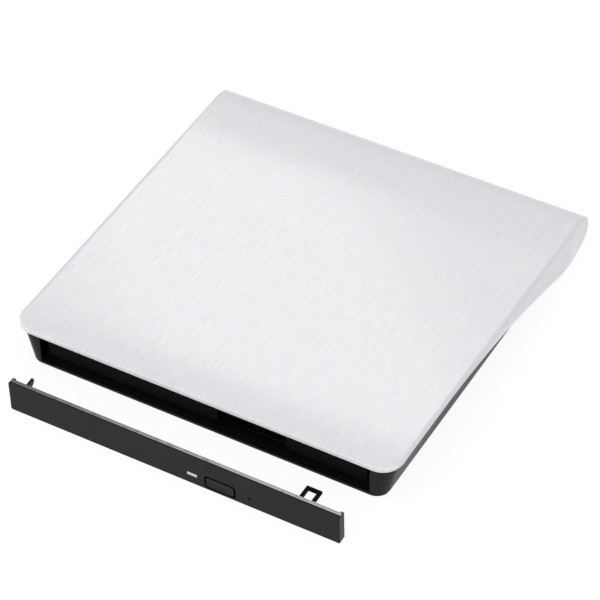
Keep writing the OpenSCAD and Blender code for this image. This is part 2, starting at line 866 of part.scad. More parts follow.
module traverse_frame() {
    color("Gray") placed() in_traverse() {
        along_z(frame_z, frame_top) frame_outline();
        difference() {
            union() {
                for (x = [-rod_x, rod_x], y = [outer_stop - stop_t, inner_stop])
                    box([x - 2.2, x + 2.2], [y, y + stop_t], [frame_z, rod_z + rod_r + 0.5]);
                box([screw_x - screw_r, screw_x + 2.4], [screw_end - bearing_t, screw_end],
                    [frame_z, screw_z + screw_r + 0.5]);
                box([screw_x - 2.2, screw_x + 2.4], [screw_root - bearing_t, screw_root],
                    [frame_z, screw_z + screw_r + 0.8]);
            }
            for (x = [-rod_x, rod_x]) rod_bar(x, -far, far, rod_z, rod_r + run_gap);
            rod_bar(screw_x, -far, far, screw_z, journal_r + run_gap);
        }
    }
}

module damper_bushes() {
    color([0.2, 0.2, 0.2]) placed() in_traverse() for (b = bushes) translate([b[0], b[1], 0]) difference() {
        disc(bush_r, [frame_top, frame_top + bush_h]);
        disc(bush_screw_r + run_gap, [0, far]);
    }
}

module damper_screws() {
    color("DimGray") placed() in_traverse() for (b = bushes) translate([b[0], b[1], 0]) {
        disc(bush_screw_r, [frame_z, deck_z - 0.3]);
        disc(bush_screw_r * 2, [frame_z - 0.25, frame_z]);
    }
}

motor_top = deck_z - 0.2;

module spindle_motor() {
    color("DarkGray") placed() about_spindle() difference() {
        union() {
            disc(motor_r, [frame_top, frame_top + 1]);
            disc(motor_r - 1.5, [frame_top, motor_top]);
        }
        disc(shaft_r + run_gap, [frame_top + 0.4, far]);
    }
}

module guide_rod(x) {
    color("Silver") placed() in_traverse() rod_bar(x, outer_stop - stop_t, inner_stop + stop_t, rod_z, rod_r);
}

module left_guide_rod() {
    guide_rod(-rod_x);
}

module right_guide_rod() {
    guide_rod(rod_x);
}

module sled_motor() {
    color("DarkGray") placed() in_traverse() difference() {
        rod_bar(screw_x, screw_root, screw_root + sled_len, screw_z, sled_r);
        rod_bar(screw_x, screw_root - 1, screw_root + 3, screw_z, journal_r + run_gap);
    }
}

module lead_screw() {
    color("Silver") placed() in_traverse() {
        rod_bar(screw_x, screw_end + 0.3, screw_root - bearing_t - 0.3, screw_z, screw_r);
        rod_bar(screw_x, screw_end - bearing_t, screw_root + 2.5, screw_z, journal_r);
    }
}

// Turntable

pad_t = 0.25;
hub_h = 1.7;
pawl_w = 2;

module turntable() {
    flange_z = seat_z - pad_t - 1.15;
    color([0.16, 0.16, 0.16]) placed() about_spindle() difference() {
        rotate_extrude() polygon([
            [0, frame_top + 0.7], [shaft_r, frame_top + 0.7], [shaft_r, motor_top + 0.3],
            [table_r / 3, motor_top + 0.3], [table_r / 3, flange_z], [table_r, flange_z],
            [table_r, seat_z - pad_t], [hub_d / 2, seat_z - pad_t], [hub_d / 2, seat_z + hub_h - 0.5],
            [hub_d / 2 - 0.8, seat_z + hub_h], [0, seat_z + hub_h]
        ]);
        for (turn = [0:120:240]) rotate([0, 0, turn])
            box([hub_d / 2 - 3, hub_d], [-pawl_w / 2 - 0.2, pawl_w / 2 + 0.2], [seat_z + 0.3, far]);
    }
}

module turntable_pad() {
    color([0.3, 0.3, 0.3]) placed() about_spindle() difference() {
        disc(table_r - 0.2, [seat_z - pad_t, seat_z]);
        disc(table_r - 3, [0, far]);
    }
}

module hub_pawls() {
    color("Ivory") placed() about_spindle() for (turn = [0:120:240]) rotate([0, 0, turn])
        rotate([90, 0, 0]) translate([0, 0, -pawl_w / 2]) linear_extrude(pawl_w) polygon([
            [hub_d / 2 - 2.9, seat_z + 0.3], [hub_d / 2 - 0.3, seat_z + 0.3], [hub_d / 2 - 0.1, seat_z + 0.8],
            [hub_d / 2 - 1, seat_z + 1.5], [hub_d / 2 - 2.9, seat_z + 1.5]
        ]);
}

// Pickup

carriage_y = [-lens_in - carriage_fore, carriage_aft - lens_in];
lens_r = 2;
actuator_half = 7;
actuator_y = [-lens_in - 2.8, 5 - lens_in];
actuator_top = carriage_top + 0.9;

module pickup_carriage() {
    color("DarkGray") placed() in_traverse() difference() {
        union() {
            along_z(carriage_z, carriage_top) difference() {
                rounded([-carriage_half, carriage_half], carriage_y, 1.5);
                for (x = [-window_half, window_half]) translate([x, carriage_y[0]]) circle(2.5);
            }
            // Follower that rides on the lead screw
            box([carriage_half - 1, screw_x - screw_r - 0.3], [carriage_y[1] - 6, carriage_y[1] - 1],
                [carriage_z, screw_z + screw_r]);
        }
        rod_bar(-rod_x, -far, far, rod_z, rod_r + run_gap);
        box([rod_x - rod_r - run_gap, carriage_half - 0.8], [-far, far],
            [rod_z - rod_r - run_gap, rod_z + rod_r + run_gap]);
    }
}

module lens_actuator() {
    color([0.15, 0.15, 0.15]) placed() in_traverse() difference() {
        along_z(carriage_top, actuator_top) rounded([-actuator_half, actuator_half], actuator_y, 0.8);
        translate([0, -lens_in, 0]) disc(lens_r + run_gap, [0, far]);
    }
}

module objective_lens() {
    dome_r = 4;
    color("LightBlue") placed() in_traverse() translate([0, -lens_in, 0]) intersection() {
        disc(lens_r, [carriage_top, actuator_top + 1]);
        translate([0, 0, actuator_top + 0.4 - dome_r]) sphere(dome_r);
    }
}

// Boards and latch on the tray

module button_board() {
    top = tray_z + board_t;
    color("DarkGreen") placed() {
        box([lamp_at[0] - 4, switch_x + 8], [cavity_y0 + 1.2, cavity_y0 + 9], [tray_z, top]);
        box([lamp_at[0] - 0.8, lamp_at[0] + 0.8], [cavity_y0 + 1.3, cavity_y0 + 2.8], [tray_z, top + 1.4]);
    }
}

module eject_switch() {
    top = tray_z + board_t;
    color([0.7, 0.7, 0.7]) placed() {
        box([switch_x - 3, switch_x + 3], [cavity_y0 + 0.6, cavity_y0 + 4.1], [top, top + 2.5]);
        box([switch_x - 1.2, switch_x + 1.2], [cavity_y0 - 0.3, cavity_y0 + 0.6], [top + 0.6, top + 1.9]);
    }
}

module tray_board() {
    color("DarkGreen") placed() difference() {
        box(tray_board_x, tray_board_y, [tray_board_z, tray_board_z + board_t]);
        for (p = board_posts) translate([p[0], p[1], 0]) disc(plate_screw_r + screw_clear, [0, far]);
    }
}

module tray_chips() {
    color([0.12, 0.12, 0.12]) placed() translate([tray_board_x[0], tray_board_y[0], tray_board_z - chip_t])
        for (c = tray_chip_spots) translate([c[0], c[1], 0]) cube([c[2], c[3], chip_t]);
}

module latch_solenoid() {
    xs = [pivot_at[0] + 3.3, pivot_at[0] + 11.8];
    ys = [pivot_at[1] - 1, pivot_at[1] + 6];
    mid = (ys[0] + ys[1]) / 2;
    coil_r = 1.9;
    color("Peru") placed() {
        difference() {
            box(xs, ys, [tray_z, tray_z + 4]);
            box([xs[0] + 0.8, xs[1] - 0.8], [ys[0] - 1, ys[1] + 1], [tray_z + 0.8, far]);
        }
        translate([xs[0] + 0.4, mid, tray_z + 2.2]) rotate([0, 90, 0])
            cylinder(r = coil_r, h = xs[1] - xs[0] - 0.8);
    }
}

module latch_pivot() {
    color("Silver") placed() translate([pivot_at[0], pivot_at[1], 0]) {
        disc(pivot_r, [plate_z, lever_z + lever_t + 0.3]);
        disc(pivot_r * 1.8, [lever_z + lever_t + 0.3, lever_z + lever_t + 0.8]);
    }
}

module latch_lever() {
    hook_x = post_at[0] + latch_post_r + 0.8;
    hook_y = post_at[1] + latch_post_r + 1.6;
    color("White") placed() difference() {
        along_z(lever_z, lever_z + lever_t) {
            translate(pivot_at) circle(2.4);
            span([pin_hole_at[0] - 1, pivot_at[0]], [pivot_at[1] - 3, pivot_at[1] - 0.8]);
            polygon([[pivot_at[0] - 1.7, pivot_at[1]], [pivot_at[0] + 1.7, pivot_at[1]],
                [hook_x + 4.2, hook_y + 2.2], [hook_x, hook_y + 2.2],
                [hook_x, hook_y], [hook_x + 2, hook_y]]);
        }
        translate([pivot_at[0], pivot_at[1], 0]) disc(pivot_r + run_gap, [0, far]);
    }
}

// Bezel, drawn from its middle, front face and underside

module standing() {
    placed() translate(stand_at) children();
}

module button_outline(grow) {
    rounded([button_at[0] - button_w / 2 - grow, button_at[0] + button_w / 2 + grow],
        [button_at[1] - button_h / 2 - grow, button_at[1] + button_h / 2 + grow], 1 + grow);
}

module lamp_outline(grow) {
    span([lamp_at[0] - lamp_w / 2 - grow, lamp_at[0] + lamp_w / 2 + grow],
        [lamp_at[1] - lamp_h / 2 - grow, lamp_at[1] + lamp_h / 2 + grow]);
}

module front_bezel() {
    color([0.15, 0.15, 0.15]) standing() {
        along_y(0, bezel_t) difference() {
            rounded([-bezel_half, bezel_half], [0, bezel_h], 0.6);
            button_outline(button_gap);
            lamp_outline(0);
            translate(pin_hole_at) circle(pin_hole_r);
        }
        both_sides() box([bezel_half - flange_t, bezel_half], [bezel_t / 2, flange_d], [0.6, bezel_h - 0.6]);
        // Clip loop
        along_z(loop_z[0], loop_z[1]) difference() {
            span(loop_x, [bezel_t / 2, loop_y]);
            span([loop_x[0] + loop_bar, loop_x[1] - loop_bar], [bezel_t, loop_y - loop_bar]);
        }
        // Clip blade
        along_x(prong_x[0], prong_x[1]) polygon([
            [bezel_t / 2, prong_z[0]], [prong_y - prong_nose, prong_z[0]], [prong_y, prong_z[0] + prong_nose],
            [prong_y, prong_z[1]], [bezel_t / 2, prong_z[1] - 0.3]
        ]);
    }
}

module lamp_window() {
    color("WhiteSmoke") standing() along_y(0, bezel_t + 0.8) lamp_outline(0);
}

module eject_button() {
    color([0.15, 0.15, 0.15]) standing() {
        along_y(0, bezel_t + 0.2) button_outline(0);
        along_y(bezel_t + 0.2, bezel_t + 0.7) button_outline(button_gap + 0.3);
        along_y(bezel_t + 0.7, bezel_t + 1.3) translate(button_at) square([3, 2], center = true);
    }
}

top_cover();
base_tub();
rubber_feet();
case_screws();
drive_pan();
drive_top_plate();
drive_screws();
left_rail_guide();
right_rail_guide();
latch_post();
connector_board();
drive_connector();
ribbon_cable();
bridge_board();
bridge_chips();
bridge_screws();
sata_receptacle();
usb_socket();
left_rail();
right_rail();
disc_tray();
tray_plate();
tray_screws();
traverse_frame();
damper_bushes();
damper_screws();
spindle_motor();
left_guide_rod();
right_guide_rod();
sled_motor();
button_board();
eject_switch();
tray_board();
tray_chips();
latch_solenoid();
latch_pivot();
turntable();
turntable_pad();
hub_pawls();
lead_screw();
pickup_carriage();
lens_actuator();
objective_lens();
latch_lever();
front_bezel();
lamp_window();
eject_button();
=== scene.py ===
# %% [markdown]
# # A slim external disc drive
#
# The real object is a white, brushed plastic cover over a black base, with a slim tray drive inside. Its black
# front bezel stands unclipped a little way before it. The solid parts already exist as an exact model, in metres.
# This lesson loads that model as a fixed frame, and then gives each part the surface that a maker would give it.
# Where a part shows its curves, it gets a new surface that is worked out with numpy. Where the exact model is
# already right, it keeps its shape and gets a finish.

import bmesh
import bpy
import numpy as np
from mathutils import Matrix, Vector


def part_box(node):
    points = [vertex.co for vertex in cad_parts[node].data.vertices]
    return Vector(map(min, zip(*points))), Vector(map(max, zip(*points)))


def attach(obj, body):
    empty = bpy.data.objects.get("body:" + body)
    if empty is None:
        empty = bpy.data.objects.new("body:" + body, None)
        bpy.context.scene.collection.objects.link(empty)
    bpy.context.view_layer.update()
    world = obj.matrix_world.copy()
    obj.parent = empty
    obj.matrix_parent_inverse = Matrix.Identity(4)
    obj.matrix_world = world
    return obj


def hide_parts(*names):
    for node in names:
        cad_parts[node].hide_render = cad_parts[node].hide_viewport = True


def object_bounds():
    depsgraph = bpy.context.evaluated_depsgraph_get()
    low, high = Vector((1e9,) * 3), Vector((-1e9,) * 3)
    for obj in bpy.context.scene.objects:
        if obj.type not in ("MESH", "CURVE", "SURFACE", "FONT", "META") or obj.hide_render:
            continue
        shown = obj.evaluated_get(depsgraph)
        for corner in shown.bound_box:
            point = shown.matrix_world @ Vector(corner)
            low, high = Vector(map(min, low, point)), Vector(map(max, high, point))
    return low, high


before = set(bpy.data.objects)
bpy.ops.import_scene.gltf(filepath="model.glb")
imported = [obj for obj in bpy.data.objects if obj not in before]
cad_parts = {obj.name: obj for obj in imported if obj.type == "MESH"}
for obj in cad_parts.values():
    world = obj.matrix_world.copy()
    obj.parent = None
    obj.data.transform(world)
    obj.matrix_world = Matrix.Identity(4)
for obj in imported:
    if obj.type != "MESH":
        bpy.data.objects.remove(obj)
cad_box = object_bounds()
MM = 0.001
print("exact model, mm:", [round((h - l) / MM, 1) for l, h in zip(*cad_box)])

# %% [markdown]
# ## One set of axes
#
# The designer drew the case from its own corner: x from the middle, y rearwards from the base's front, z up from
# the base's underside. The model's origin lies elsewhere, under the middle of its box. One small function carries
# the designer's millimetres to the model's metres, so the numbers below are the ones on the drawing.

# %% From the drawing's millimetres to the model's metres
def box_mm(name):
    """Lowest and highest corner of an exact part on the model's axes, in mm."""
    return [np.array(corner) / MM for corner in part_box(name)]


FRONT_Y, FLOOR_Z = box_mm("base_tub")[0][1:]


def at(x, y, z):
    """Points (x, y, z) of the drawing in mm, given as arrays that broadcast, as an array of points in metres."""
    x, y, z = np.broadcast_arrays(np.asarray(x, float), y, z)
    return np.stack([x, y + FRONT_Y, z + FLOOR_Z], axis=-1) * MM


print("the base's front plane lies at y =", round(FRONT_Y, 2), "mm, its underside at z =", round(FLOOR_Z, 2), "mm")

# %% [markdown]
# ## The camera
#
# The photograph looks down on the front right corner from far away through a long lens. A camera's place could be
# found by trial. Here it was worked out from the corners of the bezel and the case, so it is written as an
# azimuth, an elevation and a slight roll about the line of sight.

# %% Set the camera at the photograph's view
AZIMUTH, ELEVATION, ROLL = 30.92, 43.75, -1.72
EYE_AT = np.array([389.9, -584.1, 729.4])
SENSOR_MM, LENS_MM = 36, 180
NEAR, FAR = 0.01, 20


def looking_in(azimuth, elevation):
    """Unit vectors to the right and outwards, for a viewer on a sphere round the case. Angles are in degrees."""
    a, e = np.radians([azimuth, elevation])
    out = np.array([np.sin(a) * np.cos(e), -np.cos(a) * np.cos(e), np.sin(e)])
    return np.array([np.cos(a), np.sin(a), 0]), out


def placed(right, up, out, place):
    """The matrix of an object at a place in metres, with these unit vectors as its axes x, y and z."""
    matrix = np.eye(4)
    matrix[:3] = np.stack([right, up, out, place], axis=-1)
    return Matrix(matrix.tolist())


right, out = looking_in(AZIMUTH, ELEVATION)
up = np.cross(out, right)
cos_roll, sin_roll = np.cos(np.radians(ROLL)), np.sin(np.radians(ROLL))
scene = bpy.context.scene
camera_data = bpy.data.cameras.new("camera")
camera_data.sensor_width = SENSOR_MM
camera_data.lens = LENS_MM
camera_data.clip_start, camera_data.clip_end = NEAR, FAR
camera = bpy.data.objects.new("camera", camera_data)
camera.matrix_world = placed(right * cos_roll + up * sin_roll, up * cos_roll - right * sin_roll, out, at(*EYE_AT))
scene.collection.objects.link(camera)
scene.camera = camera
scene.view_settings.view_transform = "Standard"
print("camera at", np.round(at(*EYE_AT), 3), "m, with a lens of", LENS_MM, "mm")

# %% [markdown]
# ## Helpers for surfaces
#
# A surface here is a grid of points, worked out as whole arrays. Two neighbouring rows and columns bound a
# four-sided face, so the faces follow from the grid's size alone. Several grids can make one piece: their edges
# meet point on point, and a merge by distance closes the seams.

# %% Grids to faces, and faces to pieces
MERGE, SLIVER = 1e-6, 1e-7  # in metres: points this close are one, and edges this short are dropped


def grid_faces(rows, columns, start=0, round_rows=False, round_columns=False):
    """Faces of a grid: point (i, j) has index start + i * columns + j, and each face joins (i, j) to (i+1, j+1)."""
    i = np.arange(rows if round_rows else rows - 1)[:, None]
    j = np.arange(columns if round_columns else columns - 1)[None, :]
    i2, j2 = (i + 1) % rows, (j + 1) % columns
    quads = np.stack(np.broadcast_arrays(i * columns + j, i * columns + j2, i2 * columns + j2, i2 * columns + j), -1)
    return quads.reshape(-1, 4) + start


class Patches:
    """Gathers grids and single faces of one piece."""

    def __init__(self):
        self.points, self.faces, self.count = [], [], 0

    def grid(self, points, round_rows=False, round_columns=False, drop=None):
        """Adds a grid of points (rows, columns, 3). drop marks the cells to leave open."""
        rows, columns = points.shape[:2]
        faces = grid_faces(rows, columns, self.count, round_rows, round_columns)
        if drop is not None:
            faces = faces[~drop.reshape(-1)]
        self.points.append(points.reshape(-1, 3))
        self.faces += faces.tolist()
        self.count += rows * columns

    def face(self, points):
        """Adds one many-sided flat face through the points, in order."""
        self.points.append(points)
        self.faces.append(list(range(self.count, self.count + len(points))))
        self.count += len(points)


def piece(name, patches, body, finish, stands_for=(), smooth=35):
    """Makes a mesh of the patches, merges the points that meet, turns the faces outwards and lets it ride a body."""
    mesh = bpy.data.meshes.new(name)
    mesh.from_pydata(np.concatenate(patches.points).tolist(), [], patches.faces)
    work = bmesh.new()
    work.from_mesh(mesh)
    bmesh.ops.remove_doubles(work, verts=work.verts, dist=MERGE)
    bmesh.ops.dissolve_degenerate(work, edges=work.edges, dist=SLIVER)
    bmesh.ops.recalc_face_normals(work, faces=work.faces)
    work.to_mesh(mesh)
    work.free()
    mesh.shade_smooth()
    mesh.set_sharp_from_angle(angle=np.radians(smooth))
    thing = bpy.data.objects.new(name, mesh)
    scene.collection.objects.link(thing)
    mesh.materials.append(finish.material)
    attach(thing, body)
    if stands_for:
        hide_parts(*stands_for)
    print(name, "has", len(mesh.polygons), "faces and rides on", body)
    return thing


# %% [markdown]
# ## Floor and light
#
# The photograph was taken in a white light tent: the light comes from everywhere, and the shadow is so faint that it
# is nearly lost. A bright, even world light gives most of that. The floor is pale. To the camera and in mirrors it
# also glows a little, so that it reads as white, and its own shading keeps the soft shadow under the case. A box of
# light stands behind the case, just where the camera sees it mirrored in the cover. Its edges fall a little way in from
# the cover's front and rear, which therefore read a shade darker than the middle, as in the photograph.

# %% A pale floor that keeps the shadow
def feed(tree, entry, value):
    """Links a socket to an input, or sets the input to a constant."""
    if isinstance(value, bpy.types.NodeSocket):
        tree.links.new(value, entry)
    else:
        entry.default_value = value


def node_of(tree, kind, *feeds, **values):
    """Adds a shader node. The feeds go to its first inputs, in order.

    A value whose name is an input goes to that input, and any other is set on the node itself.
    """
    made = tree.nodes.new("ShaderNode" + kind)
    for name, value in values.items():
        label = name.replace("_", " ").title()
        if label in made.inputs:
            feed(tree, made.inputs[label], value)
        else:
            setattr(made, name, value)
    for entry, value in zip(made.inputs, feeds):
        feed(tree, entry, value)
    return made


def seen_directly(tree):
    """A socket that is 1 for camera, mirror and glass rays, and 0 for the light that falls on the object."""
    rays = node_of(tree, "LightPath").outputs
    either = node_of(tree, "Math", rays["Is Camera Ray"], rays["Is Glossy Ray"], operation="MAXIMUM")
    return node_of(tree, "Math", either.outputs[0], rays["Is Transmission Ray"], operation="MAXIMUM").outputs[0]


def bare_tree(owner):
    """Switches a material or a world to nodes, and empties its tree."""
    owner.use_nodes = True
    owner.node_tree.nodes.clear()
    return owner.node_tree


def show(tree, output, lit, seen):
    """Closes a tree: camera, mirror and glass rays meet the shader seen, all other rays meet the shader lit."""
    chosen = node_of(tree, "MixShader", seen_directly(tree), lit.outputs[0], seen.outputs[0])
    node_of(tree, output, surface=chosen.outputs[0])


floor_finish = bpy.data.materials.new("white_sweep")
tree = bare_tree(floor_finish)
pale = node_of(tree, "BsdfDiffuse", color=(0.8, 0.8, 0.8, 1))
faint = node_of(tree, "BsdfDiffuse", color=(0.12, 0.12, 0.12, 1))
glow = node_of(tree, "Emission", color=(1, 1, 1, 1), strength=0.91)
added = node_of(tree, "AddShader", faint.outputs[0], glow.outputs[0])
show(tree, "OutputMaterial", pale, added)

SWEEP_REACH, SWEEP_LINES, SWEEP_GAP = 3.0, 9, 0.00002
sweep = np.linspace(-SWEEP_REACH, SWEEP_REACH, SWEEP_LINES)
sweep_x, sweep_y = np.meshgrid(sweep, sweep)
sweep_z = np.full_like(sweep_x, cad_box[0][2] - SWEEP_GAP)
floor_points = np.stack([sweep_x, sweep_y, sweep_z], -1).reshape(-1, 3)
floor_mesh = bpy.data.meshes.new("floor")
floor_mesh.from_pydata(floor_points.tolist(), [], grid_faces(SWEEP_LINES, SWEEP_LINES).tolist())
floor_mesh.materials.append(floor_finish)
floor = bpy.data.objects.new("floor", floor_mesh)
scene.collection.objects.link(floor)
print("floor at z =", round(cad_box[0][2] / MM, 3), "mm")

# %% World light and soft boxes
world = bpy.data.worlds.new("light_tent")
scene.world = world
tree = bare_tree(world)
lit = node_of(tree, "Background", color=(0.955, 0.96, 1.0, 1), strength=0.52)
white = node_of(tree, "Background", color=(1, 1, 1, 1), strength=1.0)
show(tree, "OutputWorld", lit, white)
CASE_MIDDLE = at(0, 70, 10)


def lamp_at(name, place, side, out, width, height, power, colour=(1, 1, 1)):
    """A rectangular lamp at a place, its width along side, shining against out. Sizes are in metres."""
    lamp = bpy.data.lights.new(name, "AREA")
    lamp.shape = "RECTANGLE"
    lamp.size, lamp.size_y = width, height
    lamp.energy = power
    lamp.color = colour
    holder = bpy.data.objects.new(name, lamp)
    holder.matrix_world = placed(side, np.cross(out, side), out, place)
    scene.collection.objects.link(holder)
    return holder


def soft_box(name, azimuth, elevation, distance, width, height, power, colour=(1, 1, 1)):
    """A lamp on a sphere round the case, facing its middle. Angles are in degrees, sizes in metres, power in watts."""
    side, out = looking_in(azimuth, elevation)
    return lamp_at(name, CASE_MIDDLE + out * distance, side, out, width, height, power, colour)


WARM = (1.0, 0.99, 0.96)
soft_box("overhead_box", azimuth=20, elevation=78, distance=1.5, width=1.4, height=1.2, power=6.6)
soft_box("left_box", azimuth=-52, elevation=26, distance=1.3, width=0.9, height=0.7, power=3.0, colour=WARM)
soft_box("right_box", azimuth=108, elevation=18, distance=1.3, width=0.9, height=0.5, power=1.2)
front_box = soft_box("front_box", azimuth=18, elevation=14, distance=1.4, width=2.0, height=0.6, power=6.3)
front_box.visible_glossy = False  # mirrored in the cover, it would blind a view from behind
print("four soft boxes and an even world light")

# %% The box of light that the cover mirrors
MIRROR_Z, MIRROR_MIDDLE, BOX_Z = 16.2, 60.0, 900.0
BOX_ACROSS, BOX_ALONG, BOX_RADIANCE = (-130.0, 130.0), (10.5, 117.0), 2.5
mirrored_eye = EYE_AT * (1, 1, -1) + (0, 0, 2 * MIRROR_Z)


def mirrored_in_cover(name, across, along, radiance):
    """A lamp whose mirror image in the cover's top spans these x and y, in the drawing's mm.

    The camera's mirror image below the cover looks up through a point of the top. The lamp's lower edge lies where the
    line through the rear end of the span has risen to BOX_Z, and its upper edge where the line through the front end
    meets the lamp's plane, which faces the middle of the cover. A lamp of area A and radiance L takes pi L A watts.
    """
    slope = (np.array(along) - mirrored_eye[1]) / (MIRROR_Z - mirrored_eye[2])
    low = np.array([mirrored_eye[1] + slope[1] * (BOX_Z - mirrored_eye[2]), BOX_Z])
    out = low - (MIRROR_MIDDLE, MIRROR_Z)
    out /= np.hypot(*out)
    rise = np.array([-out[1], out[0]])
    gap = low[0] - mirrored_eye[1] - slope[0] * (low[1] - mirrored_eye[2])
    height = gap / (slope[0] * rise[1] - rise[0])
    middle = low + rise * height / 2
    spread = (middle[1] - mirrored_eye[2]) / (MIRROR_Z - mirrored_eye[2])
    ends = mirrored_eye[0] + (np.array(across) - mirrored_eye[0]) * spread
    size = np.array([ends[1] - ends[0], height]) * MM
    power = np.pi * radiance * size[0] * size[1]
    print(name, "is", np.round(size, 3), "m, with", round(float(power), 3), "W")
    return lamp_at(name, at(ends.mean(), *middle), np.array([1.0, 0, 0]), np.array([0, *out]), *size, power)


mirrored_box = mirrored_in_cover("mirrored_box", BOX_ACROSS, BOX_ALONG, BOX_RADIANCE)

# %% Feather the sides of the mirrored box
def feather(lamp, left, right, slant, soft, least):
    """Lets a lamp fade to a least share of its light past two slanted lines across it, over a soft stretch.

    A point u across and v along the lamp, both from 0 to 1, is bright where left < u + slant v < right.
    """
    lamp.use_nodes = True
    tree = lamp.node_tree
    spot = node_of(tree, "SeparateXYZ", node_of(tree, "NewGeometry").outputs["Parametric"]).outputs
    slid = node_of(tree, "Math", spot["Y"], slant, spot["X"], operation="MULTIPLY_ADD").outputs[0]
    ramps = []
    for middle, low, high in ((left, least, 1.0), (right, 1.0, least)):
        ramp = node_of(tree, "MapRange", slid, middle - soft, middle + soft, low, high)
        ramps.append(ramp.outputs["Result"])
    lower = node_of(tree, "Math", *ramps, operation="MINIMUM")
    feed(tree, tree.nodes["Emission"].inputs["Strength"], lower.outputs[0])


feather(mirrored_box.data, left=0.28, right=0.92, slant=0.35, soft=0.11, least=0.35)
print("the mirrored box fades towards its sides")

# %% [markdown]
# ## Helpers for finishes
#
# Every finish is made of nodes that read the object's own coordinates, in metres, so a pattern stays put when a
# part moves. A noise that is squeezed along one axis gives drawn or brushed lines, a fine even noise gives the
# grain of a spark-eroded mould, and a slow noise gives the uneven sheen of handling.

# %% A small kit of pattern nodes
class Finish:
    """A material in the making: pattern sockets are made first, and then steer colour, roughness and bump."""

    def __init__(self, name, colour, rough, metal=0.0, specular=0.5, coat=0.0, coat_rough=0.1):
        self.material = bpy.data.materials.new(name)
        self.material.use_nodes = True
        self.material.diffuse_color = (*colour, 1)
        self.tree = self.material.node_tree
        self.shader = self.tree.nodes["Principled BSDF"]
        self.set({"Base Color": (*colour, 1), "Roughness": rough, "Metallic": metal, "Specular IOR Level": specular})
        self.set({"Coat Weight": coat, "Coat Roughness": coat_rough})

    def set(self, values):
        """Feeds inputs of the shader by name, with constants or sockets."""
        for name, value in values.items():
            feed(self.tree, self.shader.inputs[name], value)

    def where(self, scale, turn=(0, 0, 0)):
        """Object coordinates through a Mapping node."""
        here = node_of(self.tree, "TexCoord").outputs["Object"]
        return node_of(self.tree, "Mapping", here, scale=scale, rotation=turn).outputs["Vector"]

    def noise(self, per_mm, detail=3.0, turn=(0, 0, 0)):
        """Smooth noise from 0 to 1, with so many features per millimetre: one number, or three along x, y and z."""
        where = self.where(tuple(float(p) / MM for p in np.broadcast_to(per_mm, 3)), turn)
        return node_of(self.tree, "TexNoise", where, scale=1.0, detail=detail, roughness=0.55).outputs["Fac"]

    def axis(self, name):
        """One object coordinate, in metres."""
        here = node_of(self.tree, "TexCoord").outputs["Object"]
        return node_of(self.tree, "SeparateXYZ", here).outputs[name]

    def math(self, operation, *values):
        """One step of arithmetic on sockets or numbers."""
        return node_of(self.tree, "Math", *values, operation=operation).outputs[0]

    def stretch(self, value, low=0.3, high=0.7, to_low=0.0, to_high=1.0):
        """Carries low..high to to_low..to_high, and holds the ends. A noise mostly lies between 0.3 and 0.7."""
        return node_of(self.tree, "MapRange", value, low, high, to_low, to_high).outputs["Result"]

    def mix(self, share, one, two):
        """A colour between two colours, or sockets, by a share that varies over the surface."""
        made = node_of(self.tree, "Mix", share, data_type="RGBA")
        for place, value in ((6, one), (7, two)):
            feed(self.tree, made.inputs[place], (*value, 1) if isinstance(value, tuple) else value)
        return made.outputs[2]

    def wave(self, pitch_mm):
        """A sine along x from -1 to 1, with this pitch."""
        return self.math("SINE", self.math("MULTIPLY", self.axis("X"), 2 * np.pi / (pitch_mm * MM)))

    def fed_by(self, name):
        """The socket that feeds an input of the shader so far."""
        return self.shader.inputs[name].links[0].from_socket

    def colour(self, socket):
        """Lets a socket steer the colour."""
        self.set({"Base Color": socket})

    def rough(self, socket):
        """Lets a socket steer the roughness."""
        self.set({"Roughness": socket})

    def bump(self, height, depth_mm, strength):
        """Raises the shading by height times depth."""
        made = node_of(self.tree, "Bump", strength=strength, distance=depth_mm * MM, height=height)
        self.set({"Normal": made.outputs["Normal"]})


def grey(value):
    """A colour without a hue."""
    return (value,) * 3


def shade_of(colour, factor):
    """A colour made lighter or darker by a factor, kept within 0 and 1."""
    return tuple(float(c) for c in np.clip(np.array(colour) * factor, 0, 1))


# %% [markdown]
# ## The brushed cover
#
# The cover is one white plastic moulding. Its top is flat, its front and sides roll over in a small quarter
# ellipse, its skirt deepens towards the rear along a curve, and at the rear the top itself curls under in a nose. It
# could be carved from a block with booleans, but the rolled edge would then shade in bands. Instead the rolled band is
# a profile carried round the plan's outline, the nose is an arc carried across, and both share the same heights where
# they meet. Only the outer skin is drawn: a Solidify modifier gives it its wall.

# %% Sizes of the cover, from the drawing
HALF = 74.51
LIP, CORNER = 2.0, 8.0
EDGE_RISE, TOP, SKIN = 0.65, 16.2, 0.5
EDGE_Z = TOP - EDGE_RISE
NOSE_Y, NOSE_Z, NOSE_REACH, NOSE_H, SQUARE = 131.5, 8.7, 12.5, 7.5, 3.0
WAVE_START, WAVE_Y = 32.0, 124.0
FRONT_LOW, SIDE_LOW = 14.5, 15.48
FRONT_RUN, SIDE_RUN, REAR_RUN = 0.5, 1.8, 0.6
LOW_RISES, RUN_GROWS, TAPER_Y, TAPER = 12, 16, 96, 38
LEAN, BASE_HALF, BASE_LEAN = 0.03, 69.6, 0.235


def ease(t):
    """Smooth step from 0 to 1: 3 t squared less 2 t cubed."""
    t = np.clip(t, 0, 1)
    return t * t * (3 - 2 * t)


def wave_edge(y):
    """Height of the cover's lower edge: it rises round the front corners, then falls as a parabola to the nose."""
    lip = FRONT_LOW + (SIDE_LOW - FRONT_LOW) * ease((y + LIP) / LOW_RISES)
    t = np.clip((y - WAVE_START) / (WAVE_Y - WAVE_START), 0, 1)
    return lip - (SIDE_LOW - NOSE_Z + NOSE_H) * t ** 2


